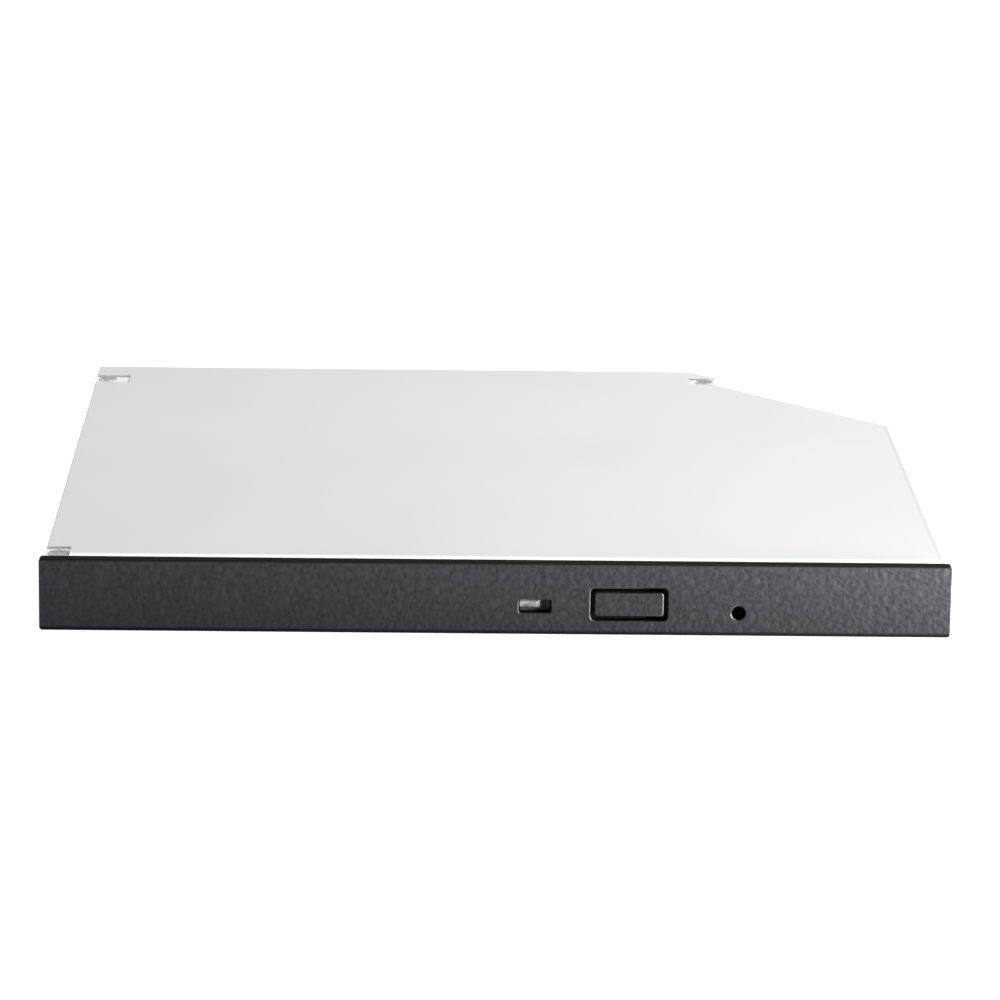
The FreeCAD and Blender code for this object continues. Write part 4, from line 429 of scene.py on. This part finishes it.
def coil_copper():
    """Enamelled wire, turn beside turn."""
    made = new_material("coil_copper")
    turns = bands(made, "Y", place(made), WIRE_SCALE, distortion=1.0, detail=1.0)
    return finish_with(
        made,
        Base_Color=blend_colour(made, turns, *WIRE_TONES),
        Roughness=0.28,
        Metallic=0.9,
        Normal=relief(made, turns, depth=0.00008),
    )


GLASS_TONES = ((0.05, 0.10, 0.16), (0.14, 0.20, 0.30))


def lens_glass():
    """Coated glass: deep blue-green, with a faint haze."""
    made = new_material("lens_glass")
    haze = noise(made, size=0.001, detail=2.0)
    return finish_with(
        made,
        Base_Color=blend_colour(made, haze, *GLASS_TONES),
        Roughness=0.04,
        Coat_Weight=1.0,
        Coat_Roughness=0.03,
    )


RUBBER_TONES = ((0.012, 0.012, 0.013), (0.04, 0.04, 0.042))


def rubber(name):
    """Matt rubber with a little dust on it."""
    made = new_material(name)
    dust = noise(made, size=0.0008, detail=4.0, rough=0.6)
    return finish_with(
        made,
        Base_Color=blend_colour(made, ramp(made, dust, low=0.35, high=0.75), *RUBBER_TONES),
        Roughness=varied(made, dust, 0.65, 0.85),
        Normal=relief(made, dust, depth=0.00001),
    )


# The light guide behind the indicator window: where painted shade darkens it to the right and at the bottom

GUIDE_RIGHT = (0.0052, 0.0082)
GUIDE_LOW = (0.0046, 0.0052)
GUIDE_PALE = (0.15, 0.15, 0.153)
GUIDE_SHADE = (0.020, 0.020, 0.021)
GUIDE_FOOT_SHADE = (0.030, 0.030, 0.031)


def light_guide():
    """Pale plastic over the indicator, streaky, with painted shade to the right and at the bottom, where
    its face falls away.
    """
    made = new_material("indicator_plastic")
    streaks = noise(made, size=0.0006, rough=0.6)
    across, _, up = axes_of(made)
    # Painted shade: darker to the right and at the bottom, where the face lies back in the window
    shade_right = ramp(made, sum_of(made, across, streaks, share=0.0020), *GUIDE_RIGHT)
    colour = blend_colour(made, shade_right, GUIDE_PALE, GUIDE_SHADE)
    shade_below = fall(made, sum_of(made, up, streaks, share=0.0016), *GUIDE_LOW)
    return finish_with(
        made,
        Base_Color=blend_colour(made, shade_below, colour, GUIDE_FOOT_SHADE),
        Roughness=varied(made, streaks, 0.4, 0.6),
        Specular_IOR_Level=0.25,
        Normal=relief(made, streaks, depth=0.0001),
    )


# A finish for each slot of the record: the darker and the lighter tone, then how it is worked

finishes = {
    "cover_paint": painted_sheet(),
    "case_sheet": zinc_sheet("case_sheet", (0.22, 0.225, 0.23), (0.28, 0.285, 0.29)),
    "rail_sheet": zinc_sheet("rail_sheet", (0.29, 0.295, 0.30), (0.37, 0.375, 0.38), grain=0.001),
    "screw_steel": turned_steel("screw_steel", (0.62, 0.62, 0.63), (0.80, 0.80, 0.81), rough=0.35),
    "bezel_plastic": rimmed_plastic(
        "bezel_plastic",
        (0.008, 0.008, 0.0092),
        (0.017, 0.017, 0.0195),
        grain=0.0007,
        depth=0.00008,
        gloss=0.15,
    ),
    "tray_plastic": grained_plastic(
        "tray_plastic", (0.010, 0.010, 0.011), (0.022, 0.022, 0.024), grain=0.0004, depth=0.00003
    ),
    "indicator_plastic": light_guide(),
    "board_laminate": circuit_laminate(),
    "chip_resin": smooth_plastic(
        "chip_resin", (0.012, 0.012, 0.013), (0.022, 0.022, 0.023), rough=0.55, grain=0.0001
    ),
    "connector_plastic": smooth_plastic(
        "connector_plastic", (0.60, 0.57, 0.48), (0.72, 0.69, 0.60), rough=0.45
    ),
    "plug_plastic": smooth_plastic(
        "plug_plastic", (0.012, 0.012, 0.013), (0.024, 0.024, 0.026), rough=0.42
    ),
    "contact_gold": turned_steel("contact_gold", (0.70, 0.46, 0.16), (0.88, 0.64, 0.28), rough=0.2),
    "flex_film": flex_film("flex_film"),
    "frame_cast": zinc_sheet("frame_cast", (0.055, 0.055, 0.057), (0.085, 0.085, 0.087), grain=0.0006),
    "plate_steel": zinc_sheet("plate_steel", (0.29, 0.29, 0.295), (0.37, 0.37, 0.375), grain=0.0015),
    "shaft_steel": turned_steel("shaft_steel", (0.62, 0.62, 0.63), (0.76, 0.76, 0.77), rough=0.16),
    "damper_rubber": rubber("damper_rubber"),
    "pickup_metal": zinc_sheet("pickup_metal", (0.30, 0.30, 0.305), (0.38, 0.38, 0.385), grain=0.0005),
    "actuator_resin": smooth_plastic("actuator_resin", (0.014, 0.014, 0.016), (0.030, 0.030, 0.033)),
    "lens_glass": lens_glass(),
    "coil_copper": coil_copper(),
    "hub_plastic": smooth_plastic("hub_plastic", (0.015, 0.015, 0.016), (0.030, 0.030, 0.032), rough=0.35),
    "white_plastic": smooth_plastic("white_plastic", (0.62, 0.61, 0.57), (0.74, 0.73, 0.69)),
    "spring_steel": turned_steel("spring_steel", (0.45, 0.45, 0.46), (0.62, 0.62, 0.63), rough=0.22),
}
# The rims' plastic: glossier than the bezel, and lighter as a painted highlight
rim_highlight_plastic = smooth_plastic("rim_highlight_plastic", (0.03, 0.03, 0.032), (0.045, 0.045, 0.048), rough=0.36)

PICKUP_FLEX_TURN = 45.0

slot_of = {part["node"]: part["material_slot"] for part in frame["record"]["subparts"]}
for name, piece in nodes.items():
    for material_slot in piece.material_slots:
        material_slot.material = finishes[slot_of[name]]
for material_slot in nodes["pickup_flex"].material_slots:
    material_slot.material = flex_film("flex_film_slanted", PICKUP_FLEX_TURN)


# Helpers for the pieces made here, in place of plain solids

def eased(value, low, high):
    """0 below low, 1 above high, and a smooth turn between them."""
    share = min(1.0, max(0.0, (value - low) / (high - low)))
    return share * share * (3 - 2 * share)


def finished(made, name, materials, smooth=True):
    """A new object in the scene from a mesh being made, with its finishes."""
    bmesh.ops.recalc_face_normals(made, faces=made.faces)
    mesh = bpy.data.meshes.new(name)
    made.to_mesh(mesh)
    made.free()
    for face in mesh.polygons:
        face.use_smooth = smooth
    for material in materials:
        mesh.materials.append(material)
    piece = bpy.data.objects.new(name, mesh)
    bpy.context.scene.collection.objects.link(piece)
    return piece


def add_bar(made, x_span, y_span, z_span, bevel):
    """A bar with rounded edges, in millimetres."""
    box = bmesh.ops.create_cube(made, size=1.0)["verts"]
    for vert in box:
        for axis, span in enumerate((x_span, y_span, z_span)):
            vert.co[axis] = (sum(span) / 2 + vert.co[axis] * (span[1] - span[0])) * MM
    edges = {edge for vert in box for edge in vert.link_edges}
    bmesh.ops.bevel(made, geom=list(edges), offset=bevel * MM, segments=2, profile=0.5, affect="EDGES")


def oblong(x_span, z_span, corner, steps=8):
    """The corners of an oblong, rounded, as points in millimetres."""
    points = []
    middles = (
        (x_span[1] - corner, z_span[1] - corner, 0),
        (x_span[0] + corner, z_span[1] - corner, 90),
        (x_span[0] + corner, z_span[0] + corner, 180),
        (x_span[1] - corner, z_span[0] + corner, 270),
    )
    for x, z, start in middles:
        for step in range(steps + 1):
            angle = math.radians(start + 90 * step / steps)
            points.append((x + corner * math.cos(angle), z + corner * math.sin(angle)))
    return points


def ring(x, z, radius, steps=48):
    turns = [2 * math.pi * step / steps for step in range(steps)]
    return [(x + radius * math.cos(turn), z + radius * math.sin(turn)) for turn in turns]


def plate_mesh(outlines, y_span, edge):
    """A plate facing the front with all its edges rounded; outlines inside the first are holes."""
    curve = bpy.data.curves.new("plate", "CURVE")
    curve.dimensions = "2D"
    curve.fill_mode = "BOTH"
    curve.extrude = ((y_span[1] - y_span[0]) / 2 - edge) * MM
    curve.bevel_depth = edge * MM
    curve.bevel_resolution = 3
    curve.offset = -edge * MM
    for outline in outlines:
        spline = curve.splines.new("POLY")
        spline.points.add(len(outline) - 1)
        for point, (x, z) in zip(spline.points, outline):
            point.co = (x * MM, z * MM, 0, 1)
        spline.use_cyclic_u = True
    holder = bpy.data.objects.new("plate", curve)
    mesh = bpy.data.meshes.new_from_object(holder)
    bpy.data.objects.remove(holder)
    bpy.data.curves.remove(curve)
    middle = sum(y_span) / 2 * MM
    mesh.transform(Matrix.Translation((0, middle, 0)) @ Matrix.Rotation(math.radians(90), 4, "X"))
    return mesh


# The rims that get the painted highlight: tilted towards the front and facing right
RIM_TILT = (0.15, 0.97)
RIM_SIDE = 0.2


def paint_rim_highlights(made, inside=lambda spot: True):
    """Gives the second finish, a glossier plastic whose lighter colour is a painted highlight, to the
    rounded edges that face the front and right.
    """
    made.normal_update()
    for face in made.faces:
        rounded_off = RIM_TILT[0] < -face.normal.y < RIM_TILT[1] and face.normal.x > RIM_SIDE
        if rounded_off and inside(face.calc_center_median() / MM):
            face.material_index = 1


# The light guide behind the indicator window

LENS_X = (3.27, 7.70)
LENS_Z = (3.14, 4.90)
LENS_FRONT = -63.45
LENS_BACK = -62.05
LENS_CORNER = 0.3
LENS_DIP = 1.05
LENS_BULGE = 0.12
BULGE_END = 0.6
DIP_RIGHT = (0.5, 0.9)
DIP_BOTTOM = (0.6, 0.85)
DIP_BOTTOM_SHARE = 0.8
DIP_TOP = (0.75, 1.0)
DIP_TOP_SHARE = 0.5
GUIDE_X = (4.19, 6.78)
GUIDE_Z = (3.22, 4.82)
GUIDE_END = -57.1
GUIDE_BEVEL = 0.25
LENS_STEPS = (36, 14)


def rounded(across, up, half_x, half_z, corner):
    """A point of a plain grid, pulled in to rounded corners."""
    core_x, core_z = half_x - corner, half_z - corner
    over_x, over_z = abs(across) - core_x, abs(up) - core_z
    if over_x > 0 and over_z > 0:
        away = math.hypot(over_x, over_z)
        if away > corner:
            across = math.copysign(core_x + over_x * corner / away, across)
            up = math.copysign(core_z + over_z * corner / away, up)
    return across, up


def lens_depth(u, v):
    """How far the face lies back at a share of its width and height."""
    dip = max(
        eased(u, *DIP_RIGHT),
        DIP_BOTTOM_SHARE * eased(1 - v, *DIP_BOTTOM),
        DIP_TOP_SHARE * eased(v, *DIP_TOP),
    )
    bulge = LENS_BULGE * math.sin(math.pi * min(1.0, u / BULGE_END)) * math.sin(math.pi * v)
    return max(0.0, LENS_DIP * dip - bulge)


def make_indicator():
    """The light guide: its face falls away to the right, at the bottom and at the top."""
    made = bmesh.new()
    middle_x, middle_z = sum(LENS_X) / 2, sum(LENS_Z) / 2
    half_x, half_z = (LENS_X[1] - LENS_X[0]) / 2, (LENS_Z[1] - LENS_Z[0]) / 2
    across_steps, up_steps = LENS_STEPS
    layers = []
    for back in (False, True):
        rows = []
        for j in range(up_steps + 1):
            row = []
            for i in range(across_steps + 1):
                u, v = i / across_steps, j / up_steps
                x, z = rounded((2 * u - 1) * half_x, (2 * v - 1) * half_z, half_x, half_z, LENS_CORNER)
                y = LENS_BACK if back else LENS_FRONT + lens_depth(u, v)
                row.append(made.verts.new(((middle_x + x) * MM, y * MM, (middle_z + z) * MM)))
            rows.append(row)
        layers.append(rows)
    front, rear = layers
    for rows, flip in ((front, False), (rear, True)):
        for j in range(up_steps):
            for i in range(across_steps):
                corners = [rows[j][i], rows[j][i + 1], rows[j + 1][i + 1], rows[j + 1][i]]
                made.faces.new(corners[::-1] if flip else corners)
    border = [(0, i) for i in range(across_steps)] + [(j, across_steps) for j in range(up_steps)]
    border += [(up_steps, i) for i in range(across_steps, 0, -1)] + [(j, 0) for j in range(up_steps, 0, -1)]
    for (j, i), (next_j, next_i) in zip(border, border[1:] + border[:1]):
        made.faces.new([front[j][i], rear[j][i], rear[next_j][next_i], front[next_j][next_i]])
    add_bar(made, GUIDE_X, (LENS_BACK, GUIDE_END), GUIDE_Z, GUIDE_BEVEL)
    return finished(made, "indicator_guide", [finishes["indicator_plastic"]])


# The bezel

BEZEL_X = (-64.0, 64.0)
BEZEL_Y = (-64.0, -62.0)
BEZEL_Z = (0.0, 10.3)
BEZEL_CORNER = 0.45
BEZEL_EDGE = 0.14
BEZEL_BORDER = 1.0
WINDOW = ((3.19, 7.78), (3.06, 4.98), 0.3)
BUTTON_HOLE = ((13.27, 24.18), (2.02, 6.81), 0.7)
PIN_HOLE = (34.12, 3.28, 1.0)


def within_border(spot):
    """Whether a spot lies inside the bezel's outer rims."""
    in_height = BEZEL_Z[0] + BEZEL_BORDER < spot.z < BEZEL_Z[1] - BEZEL_BORDER
    return in_height and abs(spot.x) < BEZEL_X[1] - BEZEL_BORDER


def make_bezel():
    """The grained front plate, with rounded rims round its window, button and emergency hole."""
    made = bmesh.new()
    outer = oblong(BEZEL_X, BEZEL_Z, BEZEL_CORNER)
    outlines = [outer, oblong(*WINDOW), oblong(*BUTTON_HOLE), ring(*PIN_HOLE)]
    made.from_mesh(plate_mesh(outlines, BEZEL_Y, BEZEL_EDGE))
    # Painted highlight on the rims of the openings that face the front and right
    paint_rim_highlights(made, within_border)
    return finished(made, "bezel_front", [finishes["bezel_plastic"], rim_highlight_plastic], smooth=False)


# The eject button

BUTTON_X = (13.87, 23.58)
BUTTON_Z = (2.68, 6.09)
BUTTON_Y = (-63.95, -61.95)
BUTTON_CORNER = 0.4
BUTTON_EDGE = 0.18
FLANGE = ((13.07, 24.38), (-61.95, -61.35), (2.10, 6.09))
STEM = ((17.53, 19.92), (-61.35, -59.35), (3.10, 4.30))
STEM_BEVEL = 0.1


def make_button():
    """The eject button: a rounded face, the flange that holds it in and the stem to its switch."""
    made = bmesh.new()
    made.from_mesh(plate_mesh([oblong(BUTTON_X, BUTTON_Z, BUTTON_CORNER)], BUTTON_Y, BUTTON_EDGE))
    # Painted highlight on the button's rims that face the front and right
    paint_rim_highlights(made)
    add_bar(made, *FLANGE, STEM_BEVEL)
    add_bar(made, *STEM, STEM_BEVEL)
    return finished(made, "button_face", [finishes["bezel_plastic"], rim_highlight_plastic], smooth=False)


# The lead screw

SCREW_HEIGHT = 3.5
SCREW_ROOT = 0.78
SCREW_CREST = 1.0
SCREW_PITCH = 3.0
SCREW_TAIL = 0.6
TAIL_LENGTH = 2.5
THREAD_START = (4.5, 5.5)
THREAD_END = (0.8, 1.6)
SCREW_SLICE = 0.15
THREAD_STEPS = 28
THREAD_PROFILE = ((0.0, 0.0), (0.3, 0.0), (0.42, 1.0), (0.58, 1.0), (0.7, 0.0), (1.0, 0.0))


def thread_height(share):
    """How far the thread stands up at a share of its pitch, from 0 at the root to 1 at the crest."""
    for (start, low), (end, high) in zip(THREAD_PROFILE, THREAD_PROFILE[1:]):
        if start <= share <= end:
            return low + (high - low) * eased(share, start, end)
    return 0.0


def screw_radius(from_tail, from_tip, turned):
    """The screw's radius at a place along it and a share of a turn."""
    if from_tail < TAIL_LENGTH:
        return SCREW_TAIL
    threaded = min(eased(from_tail, *THREAD_START), eased(from_tip, *THREAD_END))
    share = (from_tail / SCREW_PITCH - turned) % 1.0
    return SCREW_ROOT + (SCREW_CREST - SCREW_ROOT) * thread_height(share) * threaded


def make_lead_screw():
    """The lead screw, with its steep thread cut as a true helix and plain ends."""
    low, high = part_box("lead_screw")
    low_x, low_y, _ = (value / MM for value in low)
    high_x, high_y, _ = (value / MM for value in high)
    slant = math.sqrt(0.5)
    start = Vector((high_x - SCREW_TAIL * slant, high_y - SCREW_TAIL * slant, SCREW_HEIGHT))
    end = Vector((low_x + SCREW_CREST * slant, low_y + SCREW_CREST * slant, SCREW_HEIGHT))
    run = (end - start).length
    along = (end - start).normalized()
    side = along.cross(Vector((0, 0, 1))).normalized()
    up = side.cross(along)
    made = bmesh.new()
    rings = []
    count = int(run / SCREW_SLICE)
    for index in range(count + 1):
        reach = run * index / count
        row = []
        for step in range(THREAD_STEPS):
            turned = step / THREAD_STEPS
            turn = 2 * math.pi * turned
            radius = screw_radius(reach, run - reach, turned)
            spot = start + along * reach + (side * math.cos(turn) + up * math.sin(turn)) * radius
            row.append(made.verts.new(spot * MM))
        rings.append(row)
    for first, second in zip(rings, rings[1:]):
        for step in range(THREAD_STEPS):
            after = (step + 1) % THREAD_STEPS
            made.faces.new([first[step], first[after], second[after], second[step]])
    made.faces.new(rings[0])
    made.faces.new(rings[-1][::-1])
    return finished(made, "lead_screw_thread", [finishes["shaft_steel"]])


def dress(piece, node, body):
    """A piece stands in for a node and rides on its body; its finish is given where it is made."""
    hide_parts(node)
    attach(piece, body)


dress(make_indicator(), "indicator_lens", "tray_body")
dress(make_bezel(), "bezel", "tray_body")
dress(make_button(), "eject_button", "button")
dress(make_lead_screw(), "lead_screw", "screw_drive")


# Floor and light

FLOOR_HALF = 6.0
FLOOR_DROP = 0.00005
FLOOR_TONES = ((0.38, 0.38, 0.38), (0.42, 0.42, 0.42))
FLOOR_GLOW = 0.8
WHITE = (1.0, 1.0, 1.0)
SKY_STRENGTH = 0.45


def make_floor():
    """Pale paper, lit a little from within so that it stays white behind the drive."""
    mesh = bpy.data.meshes.new("floor")
    corners = [
        (-FLOOR_HALF, -FLOOR_HALF, -FLOOR_DROP),
        (FLOOR_HALF, -FLOOR_HALF, -FLOOR_DROP),
        (FLOOR_HALF, FLOOR_HALF, -FLOOR_DROP),
        (-FLOOR_HALF, FLOOR_HALF, -FLOOR_DROP),
    ]
    mesh.from_pydata(corners, [], [(0, 1, 2, 3)])
    floor = bpy.data.objects.new("floor", mesh)
    bpy.context.scene.collection.objects.link(floor)
    made = new_material("floor_paper")
    fibre = noise(made, size=0.002)
    finish_with(
        made,
        Base_Color=blend_colour(made, fibre, *FLOOR_TONES),
        Roughness=0.9,
        Specular_IOR_Level=0.1,
        Emission_Color=WHITE,
        Emission_Strength=FLOOR_GLOW,
    )
    mesh.materials.append(made)


def make_lamp(name, spot, aim, size, power):
    lamp = bpy.data.lights.new(name, "AREA")
    lamp.shape = "RECTANGLE"
    lamp.size, lamp.size_y = size
    lamp.energy = power
    holder = bpy.data.objects.new(name, lamp)
    holder.location = spot
    holder.rotation_euler = (Vector(aim) - Vector(spot)).to_track_quat("-Z", "Y").to_euler()
    bpy.context.scene.collection.objects.link(holder)


def make_world():
    world = bpy.data.worlds.new("studio")
    world.use_nodes = True
    background = world.node_tree.nodes["Background"]
    background.inputs["Color"].default_value = (*WHITE, 1)
    background.inputs["Strength"].default_value = SKY_STRENGTH
    bpy.context.scene.world = world


# The camera, at the photo's viewing angle

CAMERA_SPOT = (-13.09 * MM, -718.92 * MM, 181.54 * MM)
CAMERA_PITCH = -13.904
CAMERA_YAW = -1.179
CAMERA_ROLL = -0.811
LENS = 174.1
SENSOR = 36.0
CLIP_START = 0.01
CLIP_END = 100


def make_camera():
    """The photo's viewing angle, found from the corners of the bezel and the edges of the cover."""
    turn = (
        Matrix.Rotation(math.radians(CAMERA_YAW), 3, "Z")
        @ Matrix.Rotation(math.radians(CAMERA_PITCH), 3, "X")
        @ Matrix.Rotation(math.radians(CAMERA_ROLL), 3, "Y")
    )
    right, forward, up = turn.col[0], turn.col[1], turn.col[2]
    aim = Matrix((right, up, -forward)).transposed()
    camera = bpy.data.cameras.new("camera")
    camera.lens = LENS
    camera.sensor_width = SENSOR
    camera.clip_start = CLIP_START
    camera.clip_end = CLIP_END
    holder = bpy.data.objects.new("camera", camera)
    holder.matrix_world = Matrix.Translation(CAMERA_SPOT) @ aim.to_4x4()
    bpy.context.scene.collection.objects.link(holder)
    bpy.context.scene.camera = holder


make_floor()
make_world()
make_lamp("key_box", (0.30, 0.04, 0.42), (0.0, 0.0, 0.0), (0.35, 0.35), power=4.6)
make_lamp("front_box", (0.145, -0.135, 0.012), (0.045, -0.144, 0.006), (0.06, 0.02), power=1.6)
make_lamp("left_box", (-0.8, 0.1, 0.5), (0.0, 0.0, 0.0), (0.6, 0.6), power=2.7)
make_camera()

scene = bpy.context.scene
scene.view_settings.view_transform = "Standard"
scene.view_settings.look = "None"
